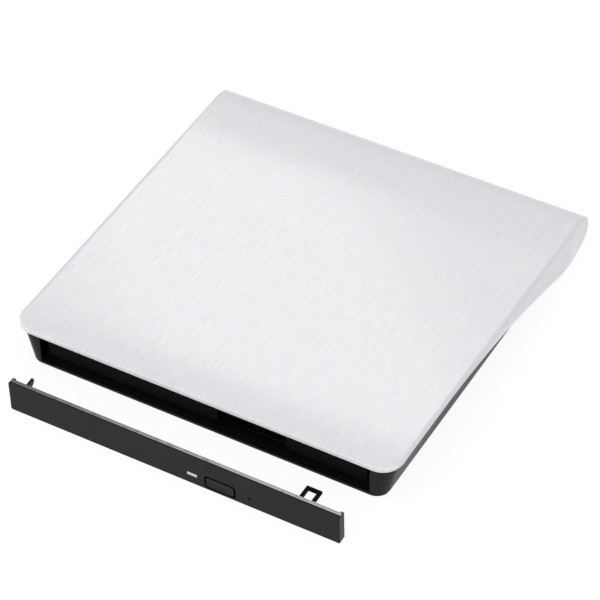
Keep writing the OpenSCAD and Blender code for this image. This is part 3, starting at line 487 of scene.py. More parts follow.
def edge_run(y):
    """Inward run of the rolled edge: half a mm at the front, 1.8 mm along the sides, and crisper towards the nose."""
    grows, shrinks = ease((y + LIP) / RUN_GROWS), ease((y - TAPER_Y) / TAPER)
    return FRONT_RUN + (SIDE_RUN - FRONT_RUN) * grows - (SIDE_RUN - REAR_RUN) * shrinks


def half_width(z, y):
    """Half width at a height: a nearly upright line below the rolled edge, a quarter ellipse above it."""
    s = np.clip((z - EDGE_Z) / EDGE_RISE, 0, 1)
    rolled = HALF - edge_run(y) * (1 - np.sqrt(1 - s ** 2))
    return np.where(z > EDGE_Z, rolled, HALF - LEAN * (EDGE_Z - z))


def nose_curve(a):
    """Points and outward normals of the nose: y^3 + z^3 = 1 above its middle, an ellipse below it."""
    power = np.where(a > 0, SQUARE, 2.0)
    y = np.cos(a).clip(0) ** (2 / power)
    z = np.sign(a) * np.abs(np.sin(a)) ** (2 / power)
    ny, nz = y ** (power - 1) / NOSE_REACH, np.sign(z) * np.abs(z) ** (power - 1) / NOSE_H
    length = np.hypot(ny, nz)
    return NOSE_Y + NOSE_REACH * y, NOSE_Z + NOSE_H * z, ny / length, nz / length


def nose_angle(z):
    """The angle at which the nose's curve passes a height."""
    share = (np.asarray(z) - NOSE_Z) / NOSE_H
    return np.sign(share) * np.arcsin(np.abs(share) ** (np.where(share > 0, SQUARE, 2.0) / 2))


print(f"the skirt's edge falls from {wave_edge(0):.2f} to {wave_edge(WAVE_Y):.2f} mm")

# %% The rolled band: a profile along the plan's outline
LEAST_SKIRT = 0.06
roll_a = np.linspace(np.pi / 2, float(nose_angle(EDGE_Z)), 15)
roll_z = nose_curve(roll_a)[1]

side_y = np.linspace(NOSE_Y, CORNER - LIP, 48)
turn = np.linspace(0, -np.pi / 2, 15)[1:]
path_x = np.concatenate([np.full_like(side_y, HALF), HALF - CORNER + CORNER * np.cos(turn)])
path_y = np.concatenate([side_y, CORNER - LIP + CORNER * np.sin(turn)])
out_x = np.concatenate([np.ones_like(side_y), np.cos(turn)])
out_y = np.concatenate([np.zeros_like(side_y), np.sin(turn)])

low_z = np.minimum(wave_edge(path_y), EDGE_Z - LEAST_SKIRT)
height = np.concatenate([np.tile(roll_z, (len(path_x), 1)), low_z[:, None]], axis=1)
inset = HALF - half_width(height, path_y[:, None])
band_x = path_x[:, None] - out_x[:, None] * inset
band_y = path_y[:, None] - out_y[:, None] * inset
right_band = np.stack([band_x, band_y, height], -1)
left_band = right_band[::-1] * np.array([-1, 1, 1])
band = np.concatenate([right_band, left_band])
print("band of", band.shape[0], "stations and", band.shape[1], "levels")

# %% The nose: an arc carried across, with rounded ends and an opening for the data socket
SOCKET_X, SOCKET_HALF, SOCKET_Z = 12.0, 4.15, (7.0, 11.5)
END_ROUND, FADE_TOP, FADE_LOW = 0.7, 0.7, 0.4
open_a = nose_angle(SOCKET_Z[::-1])
low_a = np.concatenate([
    np.linspace(roll_a[-1], open_a[0], 7)[1:],
    np.linspace(open_a[0], open_a[1], 7)[1:],
    np.linspace(open_a[1], -np.pi / 2, 15)[1:],
])
nose_a = np.concatenate([roll_a, low_a])
edge_r = END_ROUND * ease((np.pi / 2 - nose_a) / FADE_TOP) * ease((nose_a + np.pi / 2) / FADE_LOW)
curve_y, curve_z, normal_y, normal_z = nose_curve(nose_a)


def nose_point(x_share, theta, x_flat=None):
    """A column of the nose. theta 0 lies on the arc, theta 90 degrees on the flat end, a rounding between them."""
    sink = edge_r * (1 - np.cos(theta))
    y, z = curve_y - normal_y * sink, curve_z - normal_z * sink
    x = x_share * (half_width(z, y) - edge_r * (1 - np.sin(theta))) if x_flat is None else np.full_like(y, x_flat)
    return np.stack([x, y, z], -1)


bend = np.linspace(np.pi / 2, 0, 6)
flats = [-45.0, -20.0, 0.0, SOCKET_X - SOCKET_HALF, SOCKET_X + SOCKET_HALF, 40.0]
columns = [nose_point(-1, t) for t in bend] + [nose_point(0, 0, x) for x in flats]
columns += [nose_point(1, t) for t in bend[::-1]]
nose = np.stack(columns, axis=1)
rows_open = (nose_a[:-1] <= open_a[0] + 1e-9) & (nose_a[1:] >= open_a[1] - 1e-9)
first = len(bend) + flats.index(SOCKET_X - SOCKET_HALF)
socket_gap = rows_open[:, None] & (np.arange(nose.shape[1] - 1) == first)[None, :]
print("nose of", nose.shape[0], "by", nose.shape[1], "points, with", int(socket_gap.sum()), "cells left open")

# %% [markdown]
# ### The brushed finish
#
# The top is drawn with fine, short lines that run from front to rear, under a thin clear coat. The lines are a noise
# that is squeezed across and stretched along. They vary the white by a few per cent and tilt the shading a little.
# The upright sides were never brushed, so there the white is plain; it is also painted a shade darker than the top, as
# painted shade on the upright faces. The coat is smooth, so it mirrors the box of light behind the case with a fairly
# clear edge.

# %% Brushed white
def between(finish, axis, low, high, soft=0.05):
    """1 where one of the object's own coordinates, in mm, lies between low and high, with short soft ends."""
    here = finish.math("MULTIPLY", finish.axis(axis), 1 / MM)
    rise = finish.stretch(here, low - soft, low + soft, 0, 1)
    fall = finish.stretch(here, high - soft, high + soft, 1, 0)
    return finish.math("MULTIPLY", rise, fall)


brushed = Finish("brushed_white_plastic", (0.78, 0.778, 0.795), rough=0.4, specular=0.3, coat=1.0, coat_rough=0.06)
lines = brushed.noise((1.7, 0.12, 0.12), detail=2.0)
cloud = brushed.noise((0.012, 0.02, 0.02), detail=2.0)
drawn = brushed.mix(brushed.stretch(lines, 0.36, 0.64, 0, 1), (0.728, 0.726, 0.745), (0.80, 0.798, 0.811))
drawn = brushed.mix(brushed.stretch(cloud, 0.35, 0.7, 0, 0.3), drawn, (0.77, 0.767, 0.787))
off_the_sides = between(brushed, "X", 1.0 - HALF, HALF - 1.0, soft=0.5)
# painted shade: the plain white of the upright sides is set a shade darker than the top
brushed.colour(brushed.mix(off_the_sides, (0.70, 0.694, 0.724), drawn))
brushed.rough(brushed.stretch(lines, to_low=0.34, to_high=0.46))
brushed.bump(lines, 0.05, 0.5)
print(brushed.material.name, "has", len(brushed.tree.nodes), "nodes")

# %% Put the cover together
skin = Patches()
skin.grid(at(*np.moveaxis(band, -1, 0)))
skin.grid(at(*np.moveaxis(nose, -1, 0)), drop=socket_gap)
top_ring = np.concatenate([band[:, 0], nose[0, len(bend):-len(bend)]])
skin.face(at(*top_ring.T))
levels = len(roll_a)
for ends, column in ((band[0], -1), (band[-1], 0)):
    seam = np.stack([ends[:levels], nose[:levels, column]], axis=1)
    skin.grid(at(*np.moveaxis(seam, -1, 0)))
    skin.face(at(*np.concatenate([ends[levels - 1:levels], nose[levels - 1:-1, column], ends[levels:]]).T))
cover = piece("brushed_cover", skin, "case", brushed, ["top_cover"], smooth=50)
wall = cover.modifiers.new("wall", "SOLIDIFY")
wall.thickness, wall.offset = SKIN * MM, -1
even = cover.modifiers.new("even_shading", "WEIGHTED_NORMAL")
even.keep_sharp = True

# %% [markdown]
# The base leans in and the skirt doesn't, so towards the rear a slot would open between them. On a real moulding the
# skirt is thickened along its lower edge until it meets the base. Here that is a four-cornered bar that follows the
# edge, one on each side.

# %% The thickened lower edge of the skirt
RIM_FRONT, RIM_REAR, RIM_HEIGHT = 56.0, NOSE_Y - 0.05, 1.5
RIM_UP, RIM_OFF_BASE, RIM_SLOPE = 0.02, 0.03, 0.35


def bars_on_both_sides(x, y, z):
    """A bar with closed ends on each side of the case. Each row of the arrays holds one section's corners."""
    made = Patches()
    for side in (-1, 1):
        bar = at(side * x, y, z)
        made.grid(bar, round_columns=True)
        made.face(bar[0])
        made.face(bar[-1])
    return made


rim_y = np.linspace(RIM_REAR, RIM_FRONT, 60)
rim_z = wave_edge(rim_y) + RIM_UP
rim_top = np.minimum(rim_z + RIM_HEIGHT, EDGE_Z)
rim_out = HALF - LEAN * (EDGE_Z - rim_z) - SKIN / 2
rim_in = BASE_HALF + BASE_LEAN * rim_z + RIM_OFF_BASE
rim_corners = np.stack([rim_out, rim_in, rim_in + RIM_SLOPE, rim_out], -1)
rim_levels = np.stack([rim_z, rim_z, rim_top, rim_top], -1)
skirt_rims = bars_on_both_sides(rim_corners, rim_y[:, None], rim_levels)
piece("skirt_rims", skirt_rims, "case", brushed, smooth=40)

# %% [markdown]
# Four posts hang from the cover's underside and take the screws that come up through the base. Each is a short tube:
# a small outline turned about its axis.

# %% Screw posts under the cover
def turned_about(profile, centre, steps=32):
    """Carries a profile of (radius, height) points once round a vertical axis at centre."""
    a = np.linspace(0, 2 * np.pi, steps, endpoint=False)[:, None]
    r, z = np.asarray(profile, float).T
    return at(centre[0] + r * np.cos(a), centre[1] + r * np.sin(a), z)


POST_X, POST_YS = 66.12, (22.0, 104.0)
POST_TUBE = [(0.8, 15.8), (0.8, 6.1), (0.9, 6.0), (1.65, 6.0), (1.75, 6.1), (1.75, 15.8)]
posts = Patches()
for post_x in (-POST_X, POST_X):
    for post_y in POST_YS:
        posts.grid(turned_about(POST_TUBE, (post_x, post_y)), round_rows=True, round_columns=True)
piece("cover_posts", posts, "case", brushed, smooth=40)

# %% [markdown]
# ## Dressing the exact parts
#
# Most parts keep their exact shape and only need a finish. Each finish below is made once and given to every part
# that is made of that stuff, by the name of the part.

# %% Give a finish to exact parts
def dress(finish, *names):
    """Puts one finish on the exact parts with these names."""
    for name in names:
        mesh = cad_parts[name].data
        mesh.materials.clear()
        mesh.materials.append(finish.material)
    print(finish.material.name, "on", ", ".join(names))


# %% [markdown]
# ### Black plastics
#
# Moulded black plastic is never one flat colour. The mould leaves a fine even grain, the grain holds a little dust,
# and the sheen changes slowly where the melt flowed. So a fine noise drives the bump, and a slow noise drives the
# colour and the roughness. The base is satin, the bezel a little smoother, and the tray dull. The parts round the tray
# in the dark bay are dull too, and painted nearly black as painted shade, so that hardly any light comes back from
# them.

# %% Moulded plastics
def moulded(name, colour, rough, grain_mm=0.25, depth_mm=0.012, specular=0.5):
    """A spark-eroded moulding: fine grain in the bump, slow drifts in colour and sheen."""
    made = Finish(name, colour, rough, specular=specular)
    grain = made.noise(1 / grain_mm, detail=2.0)
    drift = made.noise(0.06)
    speck = made.stretch(grain, 0.58, 0.75, to_high=0.35)
    base = made.mix(made.stretch(drift), shade_of(colour, 0.82), shade_of(colour, 1.18))
    made.colour(made.mix(speck, base, shade_of(colour, 1.9)))
    made.rough(made.stretch(drift, to_low=rough - 0.05, to_high=rough + 0.06))
    made.bump(grain, depth_mm, 0.6)
    return made


case_black = moulded("case_black_plastic", (0.008, 0.008, 0.0076), 0.42, specular=0.11)
tray_black = moulded("tray_black_plastic", grey(0.024), 0.5, specular=0.03)
# painted shade: the pan and its top plate are near black, as shade in the dark bay
pan_painted_shade = moulded("pan_black_painted_shade", grey(0.004), 0.6, grain_mm=0.4, depth_mm=0.008, specular=0.04)
dress(pan_painted_shade, "drive_pan", "drive_top_plate")
# painted shade: the rail guides are near black, as shade in the dark bay
dress(moulded("guide_nylon_painted_shade", grey(0.006), 0.5, specular=0.1), "left_rail_guide", "right_rail_guide")
dress(moulded("turntable_plastic", (0.022, 0.022, 0.023), 0.34, grain_mm=0.4, depth_mm=0.004), "turntable")
dress(moulded("actuator_plastic", grey(0.018), 0.4), "lens_actuator")
# painted shade: the eject switch is near black and matte, as shade in the dark bay
dress(moulded("switch_painted_shade_black", grey(0.007), 0.6, specular=0.02), "eject_switch")

# %% [markdown]
# ### The base, satin outside, with painted shade in its bay
#
# The base's outside is satin and shows the pale floor. Its bay is never polished, so it is rough. Little light reaches
# into it, and that shade is painted: a mask that is 1 inside the bay, worked out from the object's own coordinates,
# takes the colour down to near black there.

# %% The base's finish, with painted shade in its bay
BAY_HALF, BAY_DEPTHS, BAY_LEVELS = 64.45, (0.1, 130), (0.9, 15)
BAY_PAINTED_SHADE, BAY_ROUGH = grey(0.003), 0.9
across_bay = between(case_black, "X", -BAY_HALF, BAY_HALF)
along_bay = between(case_black, "Y", *(FRONT_Y + depth for depth in BAY_DEPTHS))
above_floor = between(case_black, "Z", *(FLOOR_Z + level for level in BAY_LEVELS))
in_bay = case_black.math("MULTIPLY", across_bay, case_black.math("MULTIPLY", along_bay, above_floor))
# painted shade: inside the bay the colour goes to near black
case_black.colour(case_black.mix(in_bay, case_black.fed_by("Base Color"), BAY_PAINTED_SHADE))
dull = case_black.math("MULTIPLY", in_bay, BAY_ROUGH)
case_black.rough(case_black.math("MAXIMUM", case_black.fed_by("Roughness"), dull))
dress(case_black, "base_tub")

# %% The tray, whose front is painted with the bay's shade
TRAY_EDGE = 3.2
tray_front = box_mm("disc_tray")[0][1]
# painted shade: the tray's front takes the same near black as the shaded bay
tray_front_shade_mask = between(tray_black, "Y", tray_front - 5, tray_front + TRAY_EDGE, soft=0.6)
tray_black.colour(tray_black.mix(tray_front_shade_mask, tray_black.fed_by("Base Color"), BAY_PAINTED_SHADE))
dress(tray_black, "disc_tray")

# %% [markdown]
# ### The bezel
#
# The bezel is smoother than the base. Along its top, pale strips are painted as a painted highlight, brightest along
# the front and towards the right. Between the two strips a thin line stays as black as the face. The painted strips are
# again masks on the top of the plate, broken up by a noise.

# %% The bezel, with a painted highlight on its top
FACE_BLACK = (0.009, 0.0086, 0.0072)
REAR_HIGHLIGHT, FRONT_HIGHLIGHT = ((1.35, 2.05), (0.46, 0.46, 0.45)), ((0.8, 1.2), (0.66, 0.66, 0.65))
HIGHLIGHT_RUN = 95
bezel_lo, bezel_hi = box_mm("front_bezel")
bezel_black = moulded("bezel_black_plastic", FACE_BLACK, 0.3, grain_mm=0.18, depth_mm=0.004, specular=0.12)
on_top = between(bezel_black, "Z", bezel_hi[2] - 0.2, bezel_hi[2] + 1)
rightwards = bezel_black.math("MULTIPLY", bezel_black.axis("X"), 1 / MM)
rightwards = bezel_black.stretch(rightwards, bezel_lo[0], bezel_lo[0] + HIGHLIGHT_RUN, to_low=0.3)
highlight_speckle = bezel_black.stretch(bezel_black.noise((0.5, 1.6, 1.6), detail=4.0), 0.28, 0.46, to_low=0.35)
painted_highlight = bezel_black.math("MULTIPLY", bezel_black.math("MULTIPLY", highlight_speckle, rightwards), on_top)
# painted highlight: pale strips on the bezel's top, brighter towards the right
for (near, far), highlight_grey in (REAR_HIGHLIGHT, FRONT_HIGHLIGHT):
    in_strip = between(bezel_black, "Y", bezel_lo[1] + near, bezel_lo[1] + far)
    share = bezel_black.math("MULTIPLY", painted_highlight, in_strip)
    bezel_black.colour(bezel_black.mix(share, bezel_black.fed_by("Base Color"), highlight_grey))
dress(bezel_black, "front_bezel")


def soften(thing, name, width_mm):
    """Takes the sharp corners off a piece with a narrow bevel."""
    made = thing.modifiers.new(name, "BEVEL")
    made.width, made.segments = width_mm * MM, 2
    made.limit_method, made.angle_limit = "ANGLE", np.radians(50)
    return made


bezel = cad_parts["front_bezel"]
bezel.modifiers.new("weld", "WELD").merge_threshold = MERGE
soften(bezel, "soft_edges", 0.15).harden_normals = True

# %% [markdown]
# ### Pale plastics and rubber
#
# The lever and the hub's pawls are unfilled nylon, which lets a little light in: a small subsurface share keeps its
# shadows soft. Rubber is dull and slightly dusty, with a coarser grain.

# %% Nylon and rubber
def nylon(name, colour):
    """Unfilled nylon: slightly cloudy, with light that goes a little way in."""
    made = Finish(name, colour, 0.42, specular=0.45)
    cloud = made.noise(0.35)
    made.colour(made.mix(made.stretch(cloud), shade_of(colour, 0.93), shade_of(colour, 1.05)))
    made.rough(made.stretch(cloud, to_low=0.36, to_high=0.48))
    made.set({"Subsurface Weight": 0.15, "Subsurface Scale": 0.0008})
    return made


def rubber(name, colour):
    """Moulded rubber: dull, dusty in its pores, with a soft grain."""
    made = Finish(name, colour, 0.78, specular=0.3)
    pores = made.noise(2.2, detail=4.0)
    dust = made.noise(0.15)
    base = made.mix(made.stretch(dust, 0.4, 0.75, to_high=0.6), colour, shade_of(colour, 1.8))
    made.colour(made.mix(made.stretch(pores, 0.55, 0.8, to_high=0.5), base, shade_of(colour, 0.6)))
    made.rough(made.stretch(pores, to_low=0.68, to_high=0.88))
    made.bump(pores, 0.03, 0.5)
    return made


dress(nylon("natural_nylon", (0.74, 0.71, 0.62)), "hub_pawls", "latch_lever")
dress(rubber("damper_rubber", (0.035, 0.035, 0.037)), "damper_bushes")
dress(rubber("grip_rubber", (0.06, 0.06, 0.062)), "turntable_pad")

# %% [markdown]
# ### Metals
#
# Sheet steel, drawn rods and cast frames are all metal, and differ by how they were made. Rolled sheet has fine lines
# in one direction, a drawn rod has them along its length, and a casting has a soft, sandy skin. Each keeps the mirror
# of a metal, with its roughness and a little of its colour steered by those marks. Along the front of the plate under
# the tray, a dark strip is painted as painted shade under the button's board.

# %% Rolled, drawn and cast metal
def rolled(name, colour, rough, per_mm, turn=(0, 0, 0), depth_mm=0.004):
    """Metal with fine lines along one direction: a noise that is squeezed across the lines."""
    made = Finish(name, colour, rough, metal=1.0)
    lines = made.noise(per_mm, detail=4.0, turn=turn)
    stain = made.noise(0.05)
    base = made.mix(made.stretch(lines), shade_of(colour, 0.86), shade_of(colour, 1.1))
    made.colour(made.mix(made.stretch(stain, 0.45, 0.75, 0, 0.4), base, shade_of(colour, 0.8)))
    made.rough(made.stretch(lines, to_low=rough - 0.08, to_high=rough + 0.1))
    made.bump(lines, depth_mm, 0.5)
    return made


def cast(name, colour, rough):
    """Cast metal: a sandy skin with darker pits."""
    made = Finish(name, colour, rough, metal=1.0)
    sand = made.noise(3.5)
    made.colour(made.mix(made.stretch(sand, 0.35), shade_of(colour, 0.75), shade_of(colour, 1.1)))
    made.rough(made.stretch(sand, to_low=rough - 0.06, to_high=rough + 0.12))
    made.bump(sand, 0.02, 0.4)
    return made


SHADE_STRIP_WIDTH, SHADE_STRIP_GREY = 9, (0.12, 0.12, 0.115)
ALONG_RODS = (0, 0, np.pi / 4)
plate_metal = rolled("plate_aluminium", (0.70, 0.71, 0.72), 0.32, per_mm=(0.03, 2.2, 2.2))
plate_front = box_mm("tray_plate")[0][1]
# painted shade: a dark strip along the plate's front, under the button's board
on_shade_strip = between(plate_metal, "Y", plate_front - 1, plate_front + SHADE_STRIP_WIDTH)
plate_metal.colour(plate_metal.mix(on_shade_strip, plate_metal.fed_by("Base Color"), SHADE_STRIP_GREY))
dress(plate_metal, "tray_plate")
dress(rolled("rail_steel", grey(0.60), 0.26, per_mm=(3.0, 0.02, 3.0)), "left_rail", "right_rail")
rod_metal = rolled("rod_steel", (0.72, 0.72, 0.73), 0.14, per_mm=(3.0, 0.03, 3.0), turn=ALONG_RODS, depth_mm=0.002)
dress(rod_metal, "left_guide_rod", "right_guide_rod")
screw_metal = rolled("screw_steel", (0.55, 0.55, 0.56), 0.3, per_mm=(1.2, 1.2, 3.0))
dress(screw_metal, "case_screws", "drive_screws", "bridge_screws", "tray_screws", "damper_screws", "latch_pivot")
dress(rolled("motor_can", (0.50, 0.50, 0.52), 0.24, per_mm=(1.5, 1.5, 0.1)), "spindle_motor", "sled_motor")
dress(rolled("socket_tin", grey(0.66), 0.28, per_mm=(0.1, 2.5, 2.5)), "usb_socket")
dress(cast("frame_zinc", (0.34, 0.35, 0.37), 0.46), "traverse_frame")
dress(cast("carriage_magnesium", (0.42, 0.42, 0.43), 0.42), "pickup_carriage")
dress(rolled("post_brass", (0.78, 0.58, 0.30), 0.26, per_mm=(2.0, 2.0, 0.3)), "latch_post")

# %% [markdown]
# ### Winding and film
#
# The solenoid's coil is enamelled wire in even turns, so its finish is a wave along the coil's axis. The film cable is
# amber polyimide over flat copper tracks, which show through as stripes.

# %% Copper winding and film cable
winding = Finish("enamelled_winding", (0.62, 0.27, 0.10), 0.34, metal=0.7)
ridge = winding.stretch(winding.wave(pitch_mm=0.28), -1, 1)
winding.colour(winding.mix(ridge, (0.30, 0.11, 0.04), (0.70, 0.33, 0.13)))
winding.rough(winding.stretch(ridge, 0, 1, 0.5, 0.28))
winding.bump(ridge, 0.08, 0.7)
dress(winding, "latch_solenoid")

cable = Finish("film_cable", (0.55, 0.25, 0.06), 0.3, coat=0.4)
tracks = cable.wave(pitch_mm=0.8)
amber = cable.mix(cable.stretch(cable.noise(0.2)), (0.42, 0.17, 0.035), (0.56, 0.26, 0.07))
cable.colour(cable.mix(cable.stretch(tracks, 0.0, 0.25, to_high=0.75), amber, (0.74, 0.46, 0.20)))
cable.bump(cable.stretch(tracks, 0.0, 0.25), 0.02, 0.6)
dress(cable, "ribbon_cable")

# %% [markdown]
# ### Circuit boards
#
# A board is glass cloth under green lacquer. Copper tracks lie beneath the lacquer and lift it a little, in runs that
# keep to a grid. A brick pattern with long, shifted bricks gives such runs, and a second noise breaks them up. The
# small board behind the button is painted nearly black and matte, as painted shade in the dark bay. Chips are dull
# black resin with a fine grain. The connectors carry a row of gold contacts, set out by a wave along x that is cut off
# sharply.

# %% Boards, chips and connectors
board = Finish("board_lacquer", (0.01, 0.10, 0.045), 0.32)
runs = node_of(board.tree, "TexBrick", board.where((1 / MM, 1 / MM, 0)), scale=1.0, mortar_size=0.12,
               brick_width=3.2, row_height=0.8, offset=0.37, squash=1.0)
weave = board.noise(4.0, detail=2.0)
broken = board.math("MULTIPLY", runs.outputs["Fac"], board.stretch(board.noise(0.5), 0.42, 0.55))
lacquer = board.mix(board.stretch(weave), (0.008, 0.075, 0.033), (0.013, 0.105, 0.048))
board.colour(board.mix(broken, lacquer, (0.035, 0.20, 0.085)))
board.rough(board.stretch(weave, to_low=0.26, to_high=0.38))
board.bump(broken, 0.03, 0.6)
dress(board, "connector_board", "bridge_board", "tray_board")
# painted shade: the button's board is near black, as shade in the dark bay
board_painted_shade = moulded("button_board_painted_shade", (0.002, 0.003, 0.002), 0.5, grain_mm=0.3, depth_mm=0.01, specular=0.0)
dress(board_painted_shade, "button_board")

resin = moulded("chip_resin", (0.018, 0.018, 0.019), 0.5, grain_mm=0.1, depth_mm=0.006, specular=0.35)
dress(resin, "bridge_chips", "tray_chips")

contacts = Finish("connector_body", grey(0.012), 0.45, specular=0.4)
gold = contacts.stretch(contacts.wave(pitch_mm=1.27), 0.55, 0.65)
body = contacts.mix(contacts.stretch(contacts.noise(3.0, detail=2.0)), grey(0.010), grey(0.016))
contacts.colour(contacts.mix(gold, body, (0.78, 0.56, 0.22)))
contacts.set({"Metallic": gold})
contacts.rough(contacts.stretch(gold, 0, 1, 0.45, 0.22))
dress(contacts, "drive_connector", "sata_receptacle")

# %% [markdown]
# ## The rim on the base
#
# The base's side walls end a little below the cover's edge. A thin black rim stands on them and goes up behind that
# edge, round the front corners too. It is a strip carried along the wall: its foot follows the top of the wall, its
# head follows the cover's edge, and it leans with the wall.

# %% The rim on the base's walls
BASE_TOP, BASE_WAVE, BASE_R = 14.4, 0.12, 5.0
WALL_REAR, FOOT_DOWN, HEAD_UP = 118.0, 0.03, 0.05
SUNK, WALL = 0.004, 1.2
ON_SIDE, ON_CORNER = 60, 13


def base_edge(y):
    """Height of the base's side wall: it falls by a straight share plus a cubic share of the way to the nose."""
    t = np.clip(y / WAVE_Y, 0, 1)
    return BASE_TOP - (BASE_TOP - NOSE_Z + NOSE_H) * (BASE_WAVE * t + (1 - BASE_WAVE) * t ** 3)


around = np.concatenate([np.zeros(ON_SIDE), np.linspace(0, np.pi / 2, ON_CORNER)[1:]])
wall_y = np.concatenate([np.linspace(WALL_REAR, BASE_R, ON_SIDE), BASE_R * (1 - np.sin(around[ON_SIDE:]))])
foot_z, head_z = base_edge(wall_y) - FOOT_DOWN, wave_edge(wall_y) + HEAD_UP
corner_run = BASE_R / np.cos(np.arctan(BASE_LEAN)) * (1 - np.cos(around))
strip_z = np.stack([foot_z, head_z, head_z, foot_z], -1)
sunk = np.array([SUNK, SUNK, WALL, WALL])
strip_x = BASE_HALF + BASE_LEAN * strip_z - corner_run[:, None] - sunk * np.cos(around)[:, None]
strip_y = wall_y[:, None] + sunk * np.sin(around)[:, None]
base_rims = bars_on_both_sides(strip_x, strip_y, strip_z)
piece("base_rims", base_rims, "case", case_black)

# %% [markdown]
# ## The eject button and the lamp window
#
# The button is a small pad with round corners, a soft edge and a face that is dished by a tenth of a millimetre, so
# that a finger finds it. A box with a bevel would do from afar. Here an outline with round corners is carried
# backwards, and grows or shrinks as it goes: face, soft edge, side, the flange that keeps it in the bezel, and the
# stem that meets the switch. The lamp window is made by the same functions.

# %% An outline that is carried backwards
BEZEL = np.array([(bezel_lo[0] + bezel_hi[0]) / 2, bezel_lo[1] - FRONT_Y, bezel_lo[2] - FLOOR_Z])
PLATE, FACE_BACK = 2.0, 0.03


def middle_on_bezel(name):
    """Middle (x, z) of an exact part, from the bezel's own middle and lower edge, in mm."""
    middle = sum(box_mm(name)) / 2
    return middle[0] - BEZEL[0], middle[2] - FLOOR_Z - BEZEL[2]


def round_box(width, height, radius, steps=8):
    """Outline of a rectangle with round corners: four quarter circles, each about its own corner's centre."""
    a = (np.arange(4)[:, None] * np.pi / 2 + np.linspace(0, np.pi / 2, steps)[None, :]).reshape(-1)
    sign_x, sign_y = (np.repeat(s, steps) for s in ([1, -1, -1, 1], [1, 1, -1, -1]))
    return np.stack([sign_x * (width / 2 - radius) + radius * np.cos(a),
                     sign_y * (height / 2 - radius) + radius * np.sin(a)], -1)


def carried_back(outlines, depths, middle):
    """Stacks outlines (x, z) at depths behind the bezel's face, round a middle on that face."""
    x, z = np.moveaxis(np.stack(outlines), -1, 0)
    y = np.asarray(depths, float)[:, None]
    return at(BEZEL[0] + middle[0] + x, BEZEL[1] + y, BEZEL[2] + middle[1] + z)


def pad_rows(width, height, radius, soft, dish):
    """Rows of a dished face with a soft edge: shares of the outline to the rim, then a quarter round."""
    flat = round_box(width - 2 * soft, height - 2 * soft, radius - soft)
    shares = np.linspace(0, 1, 7)
    rows = [flat * s for s in shares]
    depths = list(FACE_BACK + dish * (1 - shares ** 2))
    for t in np.linspace(0, np.pi / 2, 6)[1:]:
        grow = soft * np.sin(t)
        rows.append(round_box(width - 2 * soft + 2 * grow, height - 2 * soft + 2 * grow, radius - soft + grow))
        depths.append(FACE_BACK + soft * (1 - np.cos(t)))
    return rows, depths


# %% The eject pad
PAD, FLANGE, STEM = (10.7, 4.2, 1.0), (12.6, 6.2, 1.65), (3.0, 2.0, 0.2)
PAD_HANG = np.array([-0.1, -0.2])
rows, depths = pad_rows(*PAD, soft=0.25, dish=0.12)
rows += [round_box(*form) for form in (PAD, FLANGE, FLANGE, STEM, STEM)] + [round_box(*STEM) * 0]
depths += [PLATE + back for back in (0.2, 0.2, 0.7, 0.7, 1.3, 1.3)]
button = Patches()
button.grid(carried_back(rows, depths, middle_on_bezel("eject_button") + PAD_HANG), round_columns=True)
button_black = moulded("button_black_plastic", FACE_BLACK, 0.28, grain_mm=0.15, depth_mm=0.003, specular=0.12)
piece("eject_pad", button, "eject_button", button_black, ["eject_button"])

# %% The lamp window
PANE = (3.9, 1.3, 0.2)
window = Finish("lamp_window_plastic", (0.62, 0.63, 0.62), 0.28)
milk = window.noise(1.5)
window.colour(window.mix(window.stretch(milk), (0.58, 0.59, 0.58), (0.68, 0.69, 0.68)))
window.rough(window.stretch(milk, to_low=0.22, to_high=0.34))
window.set({"Subsurface Weight": 0.3, "Subsurface Scale": 0.001, "Subsurface Radius": (1.0, 1.0, 1.0)})
rows, depths = pad_rows(*PANE, soft=0.08, dish=0.02)
rows += [round_box(*PANE), round_box(*PANE) * 0]
depths += [PLATE + 0.8] * 2
pane = Patches()
pane.grid(carried_back(rows, depths, middle_on_bezel("lamp_window")), round_columns=True)
piece("lamp_pane", pane, "bezel", window, ["lamp_window"])

# %% [markdown]
# ### The clip loop
#
# A small flat loop stands behind the bezel and snaps into the tray. The drawing's loop has thin square bars. A moulded
# one is thicker and duller, with worn corners, so it gets a sleeve of its own: a square section carried round the four
# corners of the loop. Its black is painted darker than the bezel's, as painted shade on the bars. A Bevel modifier
# takes the corners off.

# %% The clip loop's sleeve
LOOP_X, LOOP_Y, LOOP_Z = (47.5, 53.0), (1.5, 8.0), (10.8, 11.7)
LOOP_BAR, LOOP_ROOT = 1.1, 0.3
SLEEVE, SLEEVE_DOWN, SLEEVE_UP = 0.15, 0.25, 0.05


def loop_corners(grow):
    """Four corners (x, y) of the loop's outer edge, moved outwards by grow."""
    left, right = LOOP_X[0] - grow, LOOP_X[1] + grow
    front, rear = LOOP_Y[0], LOOP_Y[1] + grow
    return np.array([(left, front), (right, front), (right, rear), (left, rear)])


inner = loop_corners(-LOOP_BAR)
inner[:2, 1] = LOOP_Y[0] + LOOP_ROOT
sleeve_x, sleeve_y = np.moveaxis(np.stack([loop_corners(SLEEVE)] * 2 + [inner] * 2, axis=1), -1, 0)
low, high = LOOP_Z[0] - SLEEVE_DOWN, LOOP_Z[1] + SLEEVE_UP
sleeve = at(BEZEL[0] + sleeve_x, BEZEL[1] + sleeve_y, BEZEL[2] + np.array([low, high, high, low]))
loop = Patches()
loop.grid(sleeve, round_rows=True, round_columns=True)
# painted shade: the loop is a darker copy of the bezel's black
clip_shaded_black = moulded("clip_black_painted_shade", (0.004, 0.004, 0.0035), 0.6, specular=0.03)
soften(piece("clip_loop", loop, "bezel", clip_shaded_black), "worn_corners", 0.18)

# %% [markdown]
# ## Feet, lens and lead screw
#
# These are turned shapes. The feet and the lens are profiles carried round an axis. The lead screw is one too, but
# its radius also depends on the turn: where the groove passes, the radius dips, and the groove moves on by one lead in
# each turn.

